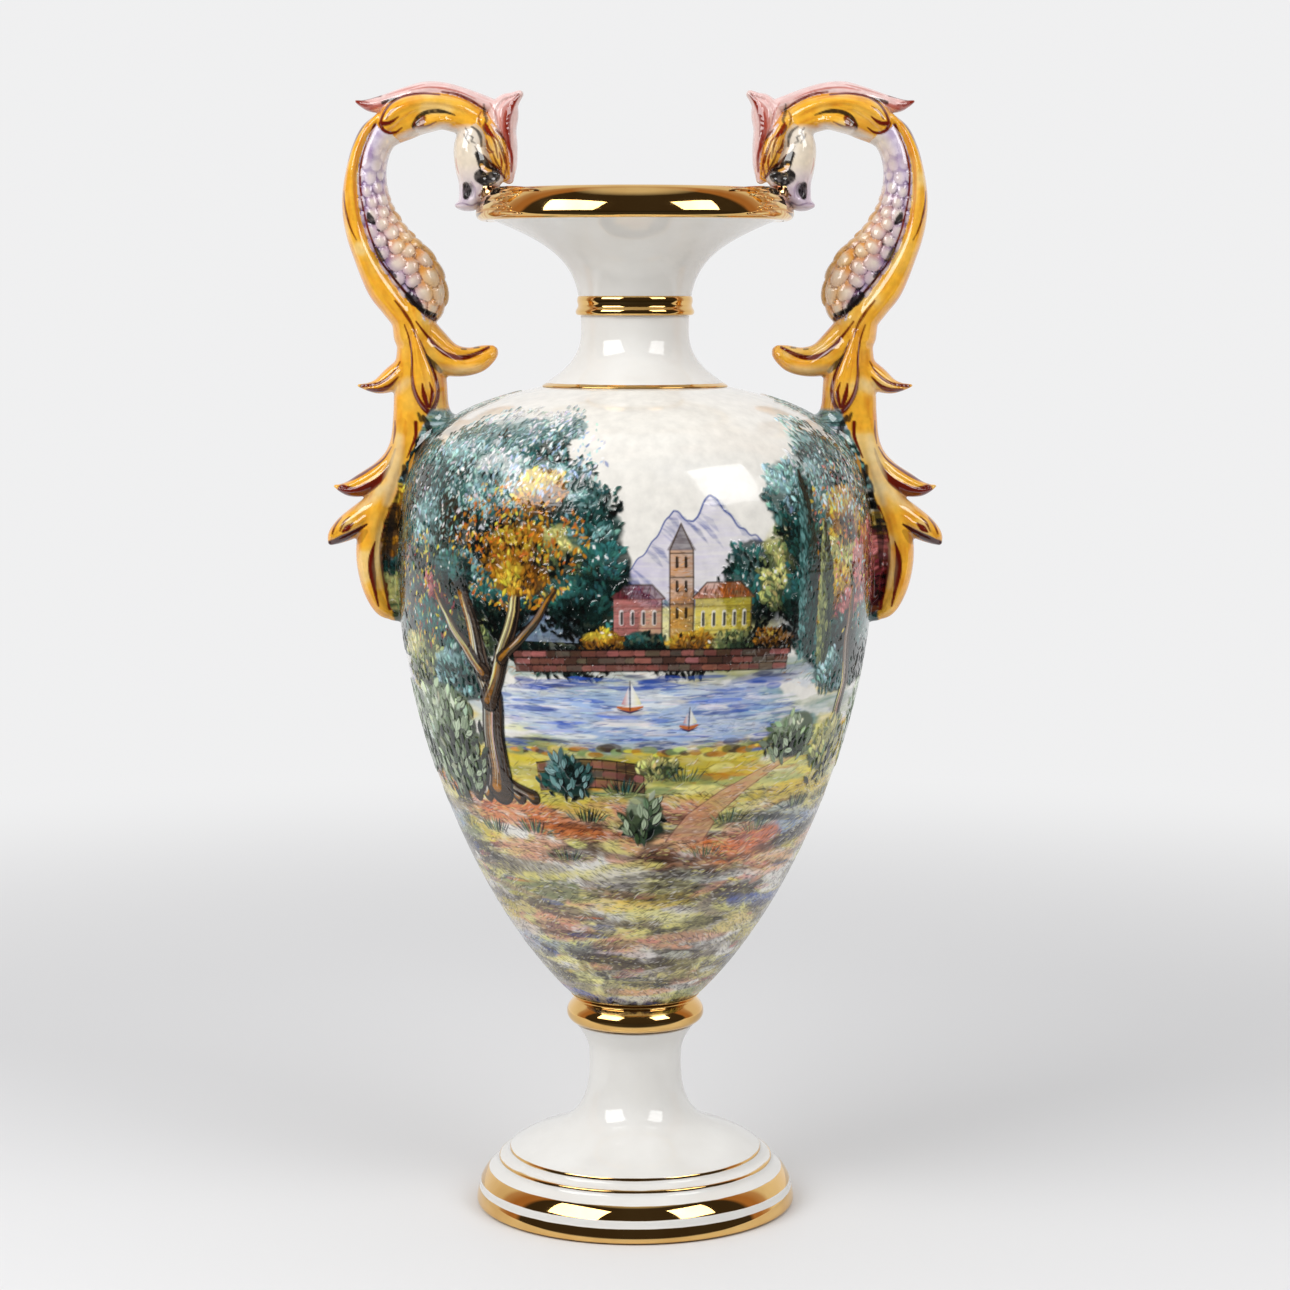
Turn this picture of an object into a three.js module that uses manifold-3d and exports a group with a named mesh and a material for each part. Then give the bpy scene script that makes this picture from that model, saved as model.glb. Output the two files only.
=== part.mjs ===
// A two-handled pedestal urn, in millimetres, +Z up.
// The origin is the centre of the foot's underside, on the surface that the urn stands on.
import * as THREE from "three";
import { mergeVertices } from "three/addons/utils/BufferGeometryUtils.js";
import Module from "manifold-3d";

// Clearance between pieces that touch
const GAP = 0.3;

// Pedestal foot
const footRadius = 86.2;
const footBandRadius = 83.8;
const footRingWidth = 16.2;
const footRingWall = 4;
const plinthHeight = 8.6;
const plinthRound = 2;
const bandHeight = 10.4;
const bandSwell = 5.6;
const lowerStepRadius = 74;
const lowerStepHeight = 24.8;
const upperStepRadius = 68;
const upperStepHeight = 30.2;
const stepEdge = 1;
const stepFace = 2;
const domeSpread = 23.2;
const domeLift = 13.8;
const stemRadius = 24.8;
const stemTurn = 6.8;
const cupHeight = 21;
const cupTurn = 8;
const cupFlare = 12;
const pedestalHeight = 97;
const seatRadius = 34.3;
const footWall = 6;
const topPlate = 9;

// Gilt collar between foot and body
const collarRadius = 37.1;
const collarHeight = 14;
const collarBulge = 5.9;
const collarLip = 0.6;
const collarRound = 4;

// Body
const bellyRadius = 127;
const bellyRise = 234.4;
const bodyHeight = 329.8;
const bodyWall = 6;
const floorThickness = 9;
const bodyLip = 2.2;
const bodySpread = 56;
const bodyLift = 55;
const bellyBelow = 74;
const bellyAbove = 66;
const shoulderSpread = 20;
const shoulderDrop = 12;
const shoulderRadius = 47.1;
const mouthSeam = 8;

// Neck, its ring and the rim
const neckRadius = 28.5;
const neckWaistRise = 28.3;
const neckHeight = 87.8;
const neckWall = 5;
const neckFillet = 3;
const neckFilletRise = 9.5;
const funnelDepth = 27;
const funnelTurn = 7.3;
const funnelTurnDepth = 16.3;
const mouthRadius = 79.5;
const ringRadius = 31.4;
const ringHeight = 9.2;
const ringRise = 36.5;
const ringBead = 1.5;
const ringTaper = 1.3;
const rimRadius = 82;
const rimHeight = 15.5;
const rimWall = 11;
const rimInnerDrop = 5;

// Bolted joint at the waist
const boltRadius = 4;
const boltHeadAcross = 13;
const boltHeadHeight = 5.3;
const boltTail = 6;
const nutHeight = 6.5;
const holeClearance = 1.5;
const washerRadius = 15;
const washerThickness = 2;
const gasketThickness = 1.5;
const seatGasketRadius = 25;

// Handles
const seatInset = 15;
const tailDrop = 29;
const leafDepth = 8;
const stemDepth = 13;
const rimLeafStart = 12;
const rimLeafSwell = 32;
const rimLeafEnd = 66;
const rimLeafThickness = 3;

// Finishes
const porcelain = new THREE.MeshStandardMaterial({ color: 0xf0eee8, roughness: 0.12, metalness: 0 });
const painted = new THREE.MeshStandardMaterial({ color: 0x7f9a86, roughness: 0.18, metalness: 0 });
const gilt = new THREE.MeshStandardMaterial({ color: 0xc8963c, roughness: 0.15, metalness: 1 });
const ochre = new THREE.MeshStandardMaterial({ color: 0xeba536, roughness: 0.15, metalness: 0 });
const lilac = new THREE.MeshStandardMaterial({ color: 0xc9bcd6, roughness: 0.15, metalness: 0 });
const pink = new THREE.MeshStandardMaterial({ color: 0xeab8b4, roughness: 0.15, metalness: 0 });
const steel = new THREE.MeshStandardMaterial({ color: 0x9a9c9e, roughness: 0.4, metalness: 1 });
const cork = new THREE.MeshStandardMaterial({ color: 0xa98258, roughness: 0.9, metalness: 0 });

const VESSEL_SEGMENTS = 32;
const SMALL_SEGMENTS = 24;
const wasm = await Module();
wasm.setup();
const urn = new THREE.Group();

function add(name, geometry, material) {
  const mesh = new THREE.Mesh(geometry, material);
  mesh.name = name;
  urn.add(mesh);
}

// A three.js geometry as a solid, and back again
function solid(geometry) {
  const bare = geometry.clone();
  bare.deleteAttribute("normal");
  bare.deleteAttribute("uv");
  const merged = mergeVertices(bare, 1e-4);
  return new wasm.Manifold(
    new wasm.Mesh({
      numProp: 3,
      vertProperties: new Float32Array(merged.attributes.position.array),
      triVerts: new Uint32Array(merged.index.array),
    }),
  );
}

function geometryOf(manifold) {
  const mesh = manifold.getMesh();
  const geometry = new THREE.BufferGeometry();
  geometry.setAttribute("position", new THREE.BufferAttribute(mesh.vertProperties, 3));
  geometry.setIndex(new THREE.BufferAttribute(mesh.triVerts, 1));
  return geometry;
}

// Profiles are lists of [radius, height] pairs, turned about Z
function turned(profile, segments = VESSEL_SEGMENTS) {
  const points = profile.map(([radius, height]) => new THREE.Vector2(radius, height));
  points.push(points[0].clone());
  return new THREE.LatheGeometry(points, segments).rotateX(Math.PI / 2);
}

function bezier(start, leave, arrive, end, steps) {
  const curve = new THREE.CubicBezierCurve(
    new THREE.Vector2(...start),
    new THREE.Vector2(...leave),
    new THREE.Vector2(...arrive),
    new THREE.Vector2(...end),
  );
  return curve.getSpacedPoints(steps).map((point) => [point.x, point.y]);
}

function arc(radius, height, width, from, to, steps) {
  const points = [];
  for (let i = 0; i <= steps; i += 1) {
    const angle = ((from + ((to - from) * i) / steps) * Math.PI) / 180;
    points.push([radius + width * Math.cos(angle), height + width * Math.sin(angle)]);
  }
  return points;
}

// The inner side of a wall: every point moved in along the profile's normal
function inset(profile, wall) {
  return profile.map(([radius, height], i) => {
    const [r0, h0] = profile[Math.max(i - 1, 0)];
    const [r1, h1] = profile[Math.min(i + 1, profile.length - 1)];
    const length = Math.hypot(r1 - r0, h1 - h0);
    return [radius - (wall * (h1 - h0)) / length, height + (wall * (r1 - r0)) / length];
  });
}

function everyOther(profile) {
  return profile.filter((_, i) => i % 2 === 0 || i === profile.length - 1);
}

function within(profile, low, high) {
  return profile.filter(([, height]) => height > low && height < high);
}

// Where a shoulder, whose radius falls as it rises, has a given radius
function heightAt(profile, radius) {
  const i = profile.findIndex(([r]) => r < radius);
  const [r0, h0] = profile[i - 1];
  const [r1, h1] = profile[i];
  return h0 + ((h1 - h0) * (r0 - radius)) / (r0 - r1);
}

function radiusAt(profile, height) {
  for (let i = 1; i < profile.length; i += 1) {
    const [r0, h0] = profile[i - 1];
    const [r1, h1] = profile[i];
    if (height <= h1) return r0 + ((r1 - r0) * (height - h0)) / (h1 - h0);
  }
  return profile[profile.length - 1][0];
}

// Heights that the stack gives
const collarBase = pedestalHeight + GAP;
const bodyBase = collarBase + collarHeight + GAP;
const bellyHeight = bodyBase + bellyRise;
const bodyTop = bodyBase + bodyHeight;
const neckBase = bodyTop + GAP;
const neckTop = neckBase + neckHeight;
const rimBase = neckTop + GAP;
const rimTop = rimBase + rimHeight;
const boltHole = boltRadius + holeClearance;
const recessDepth = gasketThickness + GAP;

// Pedestal foot: plinth, gilt band, two steps, dome, waisted stem and cup, with the collar gasket's recess
const footRingInner = footRadius - footRingWidth;
const stemHeight = pedestalHeight - cupHeight;
const bandTop = lowerStepHeight - stepFace;
const stem = [
  ...bezier(
    [upperStepRadius, upperStepHeight + stepEdge], [stemRadius + domeSpread, upperStepHeight + domeLift],
    [stemRadius, upperStepHeight + stemTurn], [stemRadius, stemHeight], 9,
  ),
  ...bezier(
    [stemRadius, stemHeight], [stemRadius, stemHeight + cupTurn],
    [stemRadius, stemHeight + cupFlare], [seatRadius, pedestalHeight], 5,
  ).slice(1),
];
const hollowTop = pedestalHeight - topPlate;
const hollow = within(inset(everyOther(stem), footWall), upperStepHeight - footWall, hollowTop - 1).reverse();
const hollowTopRadius = hollow[0][0];
add("pedestal_foot", turned([
  [footRingInner, 0],
  [footRadius - plinthRound, 0],
  [footRadius, plinthRound],
  [footRadius, plinthHeight - plinthRound],
  [footRadius - stepEdge, plinthHeight],
  [footBandRadius, bandHeight],
  ...bezier(
    [footBandRadius, bandHeight + stepEdge], [footBandRadius, bandHeight + bandSwell],
    [lowerStepRadius + bandSwell, bandTop - stepFace], [lowerStepRadius, bandTop], 3,
  ),
  [lowerStepRadius, lowerStepHeight],
  [lowerStepRadius - stepEdge, lowerStepHeight + stepEdge],
  [upperStepRadius + stepEdge, upperStepHeight - stepFace],
  [upperStepRadius, upperStepHeight],
  ...stem,
  [seatGasketRadius + GAP, pedestalHeight],
  [seatGasketRadius + GAP, pedestalHeight - recessDepth],
  [boltHole, pedestalHeight - recessDepth],
  [boltHole, hollowTop],
  [hollowTopRadius, hollowTop],
  ...hollow,
  [footRingInner - footRingWall, lowerStepHeight - footWall - footRingWall],
  [footRingInner, plinthHeight],
]), porcelain);

// A flat ring with a bore: washers and gaskets
function disc(outer, inner, base, thickness) {
  const top = base + thickness;
  return turned([[inner, base], [outer, base], [outer, top], [inner, top]], SMALL_SEGMENTS);
}
add("collar_gasket", disc(seatGasketRadius, boltHole, collarBase - gasketThickness - GAP, gasketThickness), cork);

// Gilt collar, with the body gasket's recess in its top
const collarMiddle = collarBase + collarBulge;
const collarTop = collarBase + collarHeight;
add("waist_collar", turned([
  [boltHole, collarBase],
  [seatRadius, collarBase],
  ...bezier(
    [seatRadius + collarLip, collarBase + collarLip], [collarRadius, collarBase + collarLip],
    [collarRadius, collarMiddle - collarRound / 2], [collarRadius, collarMiddle], 4,
  ),
  ...bezier(
    [collarRadius, collarMiddle], [collarRadius, collarMiddle + collarRound],
    [seatRadius + collarLip, collarMiddle + collarRound], [seatRadius, collarTop], 4,
  ).slice(1),
  [seatGasketRadius + GAP, collarTop],
  [seatGasketRadius + GAP, collarTop - recessDepth],
  [boltHole, collarTop - recessDepth],
]), gilt);
add("body_gasket", disc(seatGasketRadius, boltHole, bodyBase - gasketThickness - GAP, gasketThickness), cork);

// Body: an ovoid shell, open at the shoulder seam, with a bolt hole in its floor
const lowerBody = bezier(
  [seatRadius, bodyBase + bodyLip], [seatRadius + bodySpread, bodyBase + bodyLift],
  [bellyRadius, bellyHeight - bellyBelow], [bellyRadius, bellyHeight], 11,
);
const upperBody = bezier(
  [bellyRadius, bellyHeight], [bellyRadius, bellyHeight + bellyAbove],
  [bellyRadius - shoulderSpread, bodyTop - shoulderDrop], [shoulderRadius, bodyTop], 9,
);
const bodyProfile = [[seatRadius, bodyBase], ...lowerBody, ...upperBody.slice(1)];
const floorTop = bodyBase + floorThickness;
const seamBore = shoulderRadius - mouthSeam;
const bodyInside = within(inset(everyOther(bodyProfile), bodyWall), floorTop + 2, bodyTop - 1).reverse();
add("urn_body", turned([
  [boltHole, bodyBase],
  ...bodyProfile,
  [seamBore, bodyTop],
  ...bodyInside.filter(([radius, height]) => height < bellyHeight || radius > seamBore),
  [radiusAt(bodyProfile, floorTop) - bodyWall, floorTop],
  [boltHole, floorTop],
]), painted);

// Neck: a trumpet that seats on the body's seam and carries the rim
const neckWaist = neckBase + neckWaistRise;
const lowerNeck = bezier(
  [shoulderRadius, neckBase], [shoulderRadius - neckFillet, neckBase + neckFillet],
  [neckRadius, neckBase + neckFilletRise], [neckRadius, neckWaist], 5,
);
const upperNeck = bezier(
  [neckRadius, neckWaist], [neckRadius, neckTop - funnelDepth],
  [neckRadius + funnelTurn, neckTop - funnelTurnDepth], [mouthRadius, neckTop], 8,
);
const neckProfile = [...lowerNeck, ...upperNeck.slice(1)];
const neckInside = within(inset(everyOther(neckProfile), neckWall), neckBase + 1, neckTop - 1).reverse();
const rimBore = mouthRadius - rimWall;
add("neck_and_mouth", turned([
  [seamBore, neckBase],
  ...neckProfile,
  [rimBore, neckTop],
  ...neckInside.filter(([radius, height]) => radius < (height < neckWaist ? seamBore : rimBore)),
]), porcelain);

// Neck ring: two rounded edges with a slight hollow between, clear of the neck that it is luted to
const ringBase = neckBase + ringRise;
const ringTop = ringBase + ringHeight;
const ringBore = (height) => radiusAt(neckProfile, height) + GAP;
add("neck_ring", turned([
  [ringBore(ringBase), ringBase],
  ...arc(ringRadius - ringBead, ringBase + ringBead, ringBead, -90, 60, 3),
  [ringRadius - ringBead, ringBase + ringHeight / 2],
  ...arc(ringRadius - ringTaper - ringBead, ringTop - ringBead, ringBead, -60, 90, 3),
  [ringBore(ringTop), ringTop],
  [ringBore(ringBase + ringHeight / 2), ringBase + ringHeight / 2],
]), gilt);

// Rolled rim
const rollRadius = rimHeight / 2;
add("mouth_rim", turned([
  [rimBore, rimBase],
  [mouthRadius, rimBase],
  ...arc(rimRadius - rollRadius, rimBase + rollRadius, rollRadius, -50, 100, 7),
  [rimBore, rimTop - rimInnerDrop],
]), gilt);

// Bolt, nut, washers and gaskets of the waist joint
function hexagon(across, base, height) {
  return new THREE.CylinderGeometry(across / Math.sqrt(3), across / Math.sqrt(3), height, 6)
    .rotateX(Math.PI / 2)
    .translate(0, 0, base + height / 2);
}
function rod(radius, base, top) {
  return new THREE.CylinderGeometry(radius, radius, top - base, SMALL_SEGMENTS)
    .rotateX(Math.PI / 2)
    .translate(0, 0, (base + top) / 2);
}
const innerGasketBase = floorTop + GAP;
const innerWasherBase = innerGasketBase + gasketThickness + GAP;
const headBase = innerWasherBase + washerThickness + GAP;
const footGasketBase = hollowTop - GAP - gasketThickness;
const footWasherBase = footGasketBase - GAP - washerThickness;
const nutBase = footWasherBase - GAP - nutHeight;
const plateWasherRadius = Math.min(washerRadius, hollowTopRadius - 2);
add("bolt_gasket", disc(washerRadius, boltHole, innerGasketBase, gasketThickness), cork);
add("bolt_washer", disc(washerRadius, boltRadius + GAP, innerWasherBase, washerThickness), steel);
const boltHead = solid(hexagon(boltHeadAcross, headBase, boltHeadHeight));
const boltShank = solid(rod(boltRadius, nutBase - boltTail, headBase + boltHeadHeight / 2));
add("tie_bolt", geometryOf(boltHead.add(boltShank)), steel);
add("foot_gasket", disc(plateWasherRadius, boltHole, footGasketBase, gasketThickness), cork);
add("foot_washer", disc(plateWasherRadius, boltRadius + GAP, footWasherBase, washerThickness), steel);
const nutBlank = solid(hexagon(boltHeadAcross, nutBase, nutHeight));
const nutBore = solid(rod(boltRadius + GAP, nutBase - 1, nutBase + nutHeight + 1));
add("tie_nut", geometryOf(nutBlank.subtract(nutBore)), steel);

// Handles. They are drawn in the X-Z plane as [out, up], on a drawing whose two anchors are the seat on
// the shoulder and the rim. The vessel's own seat and rim place the drawing.
const drawnSeat = [112, 410];
const drawnRim = [82, 545.3];
const drawnTail = 317;
const seatOut = bellyRadius - seatInset;
const seatUp = heightAt(upperBody, seatOut);
const handleTail = bellyHeight - tailDrop;

function place([out, up]) {
  if (up >= drawnSeat[1]) {
    const share = (up - drawnSeat[1]) / (drawnRim[1] - drawnSeat[1]);
    const drawnLine = drawnSeat[0] + share * (drawnRim[0] - drawnSeat[0]);
    const line = seatOut + share * (rimRadius - seatOut);
    return [out - drawnLine + line, seatUp + share * (rimTop - seatUp)];
  }
  const share = (drawnSeat[1] - up) / (drawnSeat[1] - drawnTail);
  return [out - drawnSeat[0] + seatOut, seatUp - share * (seatUp - handleTail)];
}

// A tapering limb through stations [out, up, half width, half depth, side], as a closed loft of rings
function limb(stations, sides, steps, grow) {
  const axis = new THREE.CatmullRomCurve3(
    stations.map(([out, up, , , side = 0]) => {
      const [x, z] = place([out, up]);
      return new THREE.Vector3(x, side, z);
    }),
    false, "centripetal",
  );
  const girth = new THREE.CatmullRomCurve3(
    stations.map(([, , width, depth]) => new THREE.Vector3(width, depth, 0)), false, "centripetal",
  );
  const positions = [];
  const indices = [];
  for (let i = 0; i <= steps; i += 1) {
    const share = i / steps;
    const centre = axis.getPoint(share);
    const tangent = axis.getTangent(share);
    const flat = new THREE.Vector3(tangent.z, 0, -tangent.x).normalize();
    const size = girth.getPoint(share);
    const overrun = i === 0 ? -grow : i === steps ? grow : 0;
    for (let j = 0; j < sides; j += 1) {
      const angle = (2 * Math.PI * (j + 0.5)) / sides;
      const point = centre.clone().addScaledVector(tangent, overrun);
      point.addScaledVector(flat, (size.x + grow) * Math.cos(angle));
      point.y += (size.y + grow) * Math.sin(angle);
      positions.push(point.x, point.y, point.z);
    }
  }
  for (let i = 0; i < steps; i += 1) {
    for (let j = 0; j < sides; j += 1) {
      const a = i * sides + j;
      const b = i * sides + ((j + 1) % sides);
      indices.push(a, b, a + sides, b, b + sides, a + sides);
    }
  }
  const last = steps * sides;
  for (let j = 1; j < sides - 1; j += 1) {
    indices.push(0, j + 1, j);
    indices.push(last, last + j, last + j + 1);
  }
  const geometry = new THREE.BufferGeometry();
  geometry.setAttribute("position", new THREE.Float32BufferAttribute(positions, 3));
  geometry.setIndex(indices);
  return solid(geometry);
}

// Each limb is listed before the ones that give way to it
const limbs = [
  {
    name: "serpent_neck", material: ochre, sides: 8, steps: 26,
    stations: [
      [79, 579, 5, 8], [93, 582, 8, 10], [109, 584, 10, 12], [124, 581, 10, 12], [139, 575, 7, 11],
      [147.5, 560, 6, 10], [150.5, 540, 6, 10], [148, 520, 6, 10], [140, 502, 7, 10], [130, 487, 9, 11],
      [117, 471, 12, 12], [113, 457, 12.5, stemDepth], [113, 442, 13.5, stemDepth],
      [113, 426, 15, stemDepth + 1], [113, 406, 13, stemDepth],
    ],
  },
  {
    name: "scaled_belly", material: lilac, sides: 8, steps: 11,
    stations: [
      [128, 571, 6, 9], [134, 560, 8, 12], [138, 545, 9, 13], [136, 530, 10, 13], [129, 514, 10.5, 13],
      [119, 501, 10.5, 13], [110, 490, 10.5, 12], [107, 479, 6, 9],
    ],
  },
  {
    name: "animal_head", material: lilac, sides: 8, steps: 9,
    stations: [
      [80, 580, 9, 9], [79, 570, 14, 12.5], [79.5, 558, 16, 14], [80.5, 547, 14.5, 13.5],
      [84, 540, 12, 11], [87, 534.5, 7, 8],
    ],
  },
  {
    name: "crest", material: pink, sides: 6, steps: 11,
    stations: [
      [75, 585, 2.5, 4], [88, 590.5, 4, 6], [102, 595.4, 4.6, 7], [114, 595.4, 4.6, 7], [127, 591.5, 4.5, 6],
      [138, 588.5, 3.5, 5], [148, 589.5, 1.2, 2],
    ],
  },
  {
    name: "mane_lock", material: ochre, sides: 6, steps: 7,
    stations: [[67, 549, 4, 6], [66.5, 565, 5.5, 8], [67, 578, 5.5, 7], [66, 587, 4.5, 5], [62, 594, 1.2, 2]],
  },
  {
    name: "curl_leaf", material: ochre, sides: 8, steps: 7,
    stations: [[107, 459, 12, 9], [96, 456, 9.5, 9], [87, 454, 8, 8], [80, 456, 6, 7], [75.5, 459, 3, 4]],
  },
  {
    name: "small_leaf", material: ochre, sides: 6, steps: 5,
    stations: [[122, 443, 9, leafDepth], [133, 440.5, 7, leafDepth], [140, 440, 4, 6], [146.5, 441, 1.2, 2]],
  },
  {
    name: "tail_scroll", material: ochre, sides: 8, steps: 13,
    stations: [
      [118, 424, 9, 10], [124, 403, 11, 12], [133, 385, 13.5, 12], [136, 366, 12.5, 12],
      [136.5, 350, 12, 11], [134.5, 336, 10.5, 10], [130.5, 325, 7.5, 8], [126, 318, 4, 5],
    ],
  },
  {
    name: "mid_leaf", material: ochre, sides: 6, steps: 5,
    stations: [[136, 389, 9, leafDepth], [146, 386.5, 7.5, leafDepth], [153, 386.5, 4.5, 6], [159.5, 388, 1.2, 2]],
  },
  {
    name: "low_leaf", material: ochre, sides: 6, steps: 5,
    stations: [[142, 370, 9, leafDepth], [151, 366, 8.5, leafDepth], [158, 362, 6, 6], [162.4, 357.5, 2, 3]],
  },
];

// What the handles must clear: the vessel's outside, grown by the gap
function grown(profile) {
  return inset(profile, -GAP);
}
const vesselClearance = solid(turned([
  [0, bodyBase],
  ...grown(bodyProfile),
  ...grown(neckProfile).slice(1),
  [0, neckTop + GAP],
])).add(solid(turned([
  [0, rimBase - GAP],
  [mouthRadius, rimBase - GAP],
  ...arc(rimRadius - rollRadius, rimBase + rollRadius, rollRadius + GAP, -50, 100, 7),
  [0, rimTop + GAP],
])));

// A leaf that hangs on the face of the stem
function dropLeaf(way) {
  const stations = [[113, 461, 3, 2], [112, 451, 6, 4], [110, 440, 6, 4], [108, 429, 1.5, 2]];
  const outward = [0, 1, 1.5, 1.5];
  return limb(
    stations.map((station, i) => [...station, way * (stemDepth + outward[i])]), 6, 5, 0,
  );
}

// A gilt leaf that clasps the rim beside the head: a shell over the roll, cut to a leaf's outline
const leafShell = solid(turned([
  ...arc(rimRadius - rollRadius, rimBase + rollRadius, rollRadius + GAP, 85, -50, 5),
  ...arc(rimRadius - rollRadius, rimBase + rollRadius, rollRadius + GAP + rimLeafThickness, -50, 85, 5),
]));

function rimLeaf(way) {
  const outline = new THREE.Shape();
  outline.moveTo(way * rimLeafStart, rimBase);
  outline.quadraticCurveTo(way * rimLeafSwell, rimBase - rimLeafThickness, way * rimLeafEnd, rimBase + rollRadius);
  outline.quadraticCurveTo(way * rimLeafSwell, rimTop + rimLeafThickness, way * rimLeafStart, rimTop);
  const prism = new THREE.ExtrudeGeometry(outline, { depth: rimRadius * 2, bevelEnabled: false, curveSegments: 5 });
  // The outline's plane becomes Y-Z, and its depth runs out along X
  prism.rotateX(Math.PI / 2);
  prism.rotateZ(Math.PI / 2);
  return leafShell.intersect(solid(prism));
}

for (const [side, turn] of [["right", 0], ["left", Math.PI]]) {
  let taken = vesselClearance;
  for (const { name, material, sides, steps, stations } of limbs) {
    const piece = limb(stations, sides, steps, 0).subtract(taken);
    taken = taken.add(limb(stations, sides, steps, GAP));
    add(`${side}_${name}`, geometryOf(piece).rotateZ(turn), material);
  }
  for (const [face, faceWay] of [["front", -1], ["back", 1]]) {
    const way = turn === 0 ? faceWay : -faceWay;
    const hanging = dropLeaf(way).subtract(taken);
    add(`${side}_drop_leaf_${face}`, geometryOf(hanging).rotateZ(turn), ochre);
    const clasping = rimLeaf(way).subtract(taken);
    add(`${side}_rim_leaf_${face}`, geometryOf(clasping).rotateZ(turn), gilt);
  }
}

export default urn;
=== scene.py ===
# Looks of a two-handled pedestal urn with a hand-painted body, gilding and moulded handles.
# Lengths are in metres, and the shape code works in millimetres and scales at the end.
import math

import bpy
import numpy as np
import openvdb
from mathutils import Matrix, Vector


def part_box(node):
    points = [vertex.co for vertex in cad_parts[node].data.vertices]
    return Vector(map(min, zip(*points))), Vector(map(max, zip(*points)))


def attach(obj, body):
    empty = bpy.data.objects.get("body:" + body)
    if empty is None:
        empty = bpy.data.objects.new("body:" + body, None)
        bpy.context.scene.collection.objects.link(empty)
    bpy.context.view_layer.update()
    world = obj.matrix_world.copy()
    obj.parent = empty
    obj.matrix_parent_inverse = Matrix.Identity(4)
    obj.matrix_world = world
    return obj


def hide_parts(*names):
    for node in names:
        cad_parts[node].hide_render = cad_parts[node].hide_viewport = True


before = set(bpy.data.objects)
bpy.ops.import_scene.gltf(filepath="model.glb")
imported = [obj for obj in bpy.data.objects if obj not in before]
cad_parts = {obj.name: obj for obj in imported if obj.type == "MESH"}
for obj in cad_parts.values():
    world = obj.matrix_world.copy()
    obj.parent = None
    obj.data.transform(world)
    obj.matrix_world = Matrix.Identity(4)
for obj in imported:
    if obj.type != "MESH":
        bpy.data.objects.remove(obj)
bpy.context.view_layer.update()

MM = 0.001
SEED = 20
rng = np.random.default_rng(SEED)


# Sizes from the frame, in millimetres
def node_box(node):
    low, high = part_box(node)
    return np.array(low) / MM, np.array(high) / MM


_, foot_high = node_box("pedestal_foot")
collar_low, collar_high = node_box("waist_collar")
body_low, body_high = node_box("urn_body")
neck_low, neck_high = node_box("neck_and_mouth")
ring_low, ring_high = node_box("neck_ring")
rim_low, rim_high = node_box("mouth_rim")

BELLY_UP = 234.4
BELLY_R = body_high[0]
RIM_R = rim_high[0]
COLLAR_R = collar_high[0]
RING_R = ring_high[0]
BODY_Z0 = body_low[2]
BODY_Z1 = body_high[2]
BELLY_Z = BODY_Z0 + BELLY_UP
SEAT_R = 34.3
SHOULDER_R = 47.1


# Curves and profiles
def bezier(p0, p1, p2, p3, steps):
    t = np.linspace(0, 1, steps + 1)[:, None]
    p0, p1, p2, p3 = (np.array(p, float) for p in (p0, p1, p2, p3))
    return (1 - t) ** 3 * p0 + 3 * (1 - t) ** 2 * t * p1 + 3 * (1 - t) * t**2 * p2 + t**3 * p3


def arc(centre, radius, start, end, steps):
    a = np.radians(np.linspace(start, end, steps + 1))
    return np.stack([centre[0] + radius * np.cos(a), centre[1] + radius * np.sin(a)], 1)


def joined(*pieces):
    """One line through all pieces, without the points that two of them share."""
    line = np.concatenate([np.atleast_2d(np.array(p, float)) for p in pieces])
    keep = np.r_[True, np.hypot(*np.diff(line, axis=0).T) > 1e-4]
    return line[keep]


def resampled(line, step):
    """Points at an even distance along a line."""
    gaps = np.hypot(*np.diff(line, axis=0).T)
    run = np.r_[0, np.cumsum(gaps)]
    count = max(2, int(round(run[-1] / step)) + 1)
    at = np.linspace(0, run[-1], count)
    return np.stack([np.interp(at, run, line[:, k]) for k in range(2)], 1)


def inset(line, wall):
    """The line moved to its left by a wall's thickness."""
    d = np.gradient(line, axis=0)
    length = np.hypot(d[:, 0], d[:, 1])[:, None]
    return line + wall * np.stack([-d[:, 1], d[:, 0]], 1) / length


# The relief of the painting stands out from the clay's own outline
CLAY_R = BELLY_R - 0.8
seat_edge = (SEAT_R + 0.3, BODY_Z0 + 2.8)
belly = (CLAY_R, BELLY_Z)
body_outer = joined(
    [SEAT_R - 0.4, BODY_Z0 + 2.2],
    bezier(seat_edge, (SEAT_R + 54.9, BODY_Z0 + 55.4), (CLAY_R, BELLY_Z - 74), belly, 300),
    bezier(belly, (CLAY_R, BELLY_Z + 66), (CLAY_R - 19.2, BODY_Z1 - 12), (SHOULDER_R, BODY_Z1), 200),
)


def body_radius(z):
    return np.interp(z, body_outer[:, 1], body_outer[:, 0])


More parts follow.
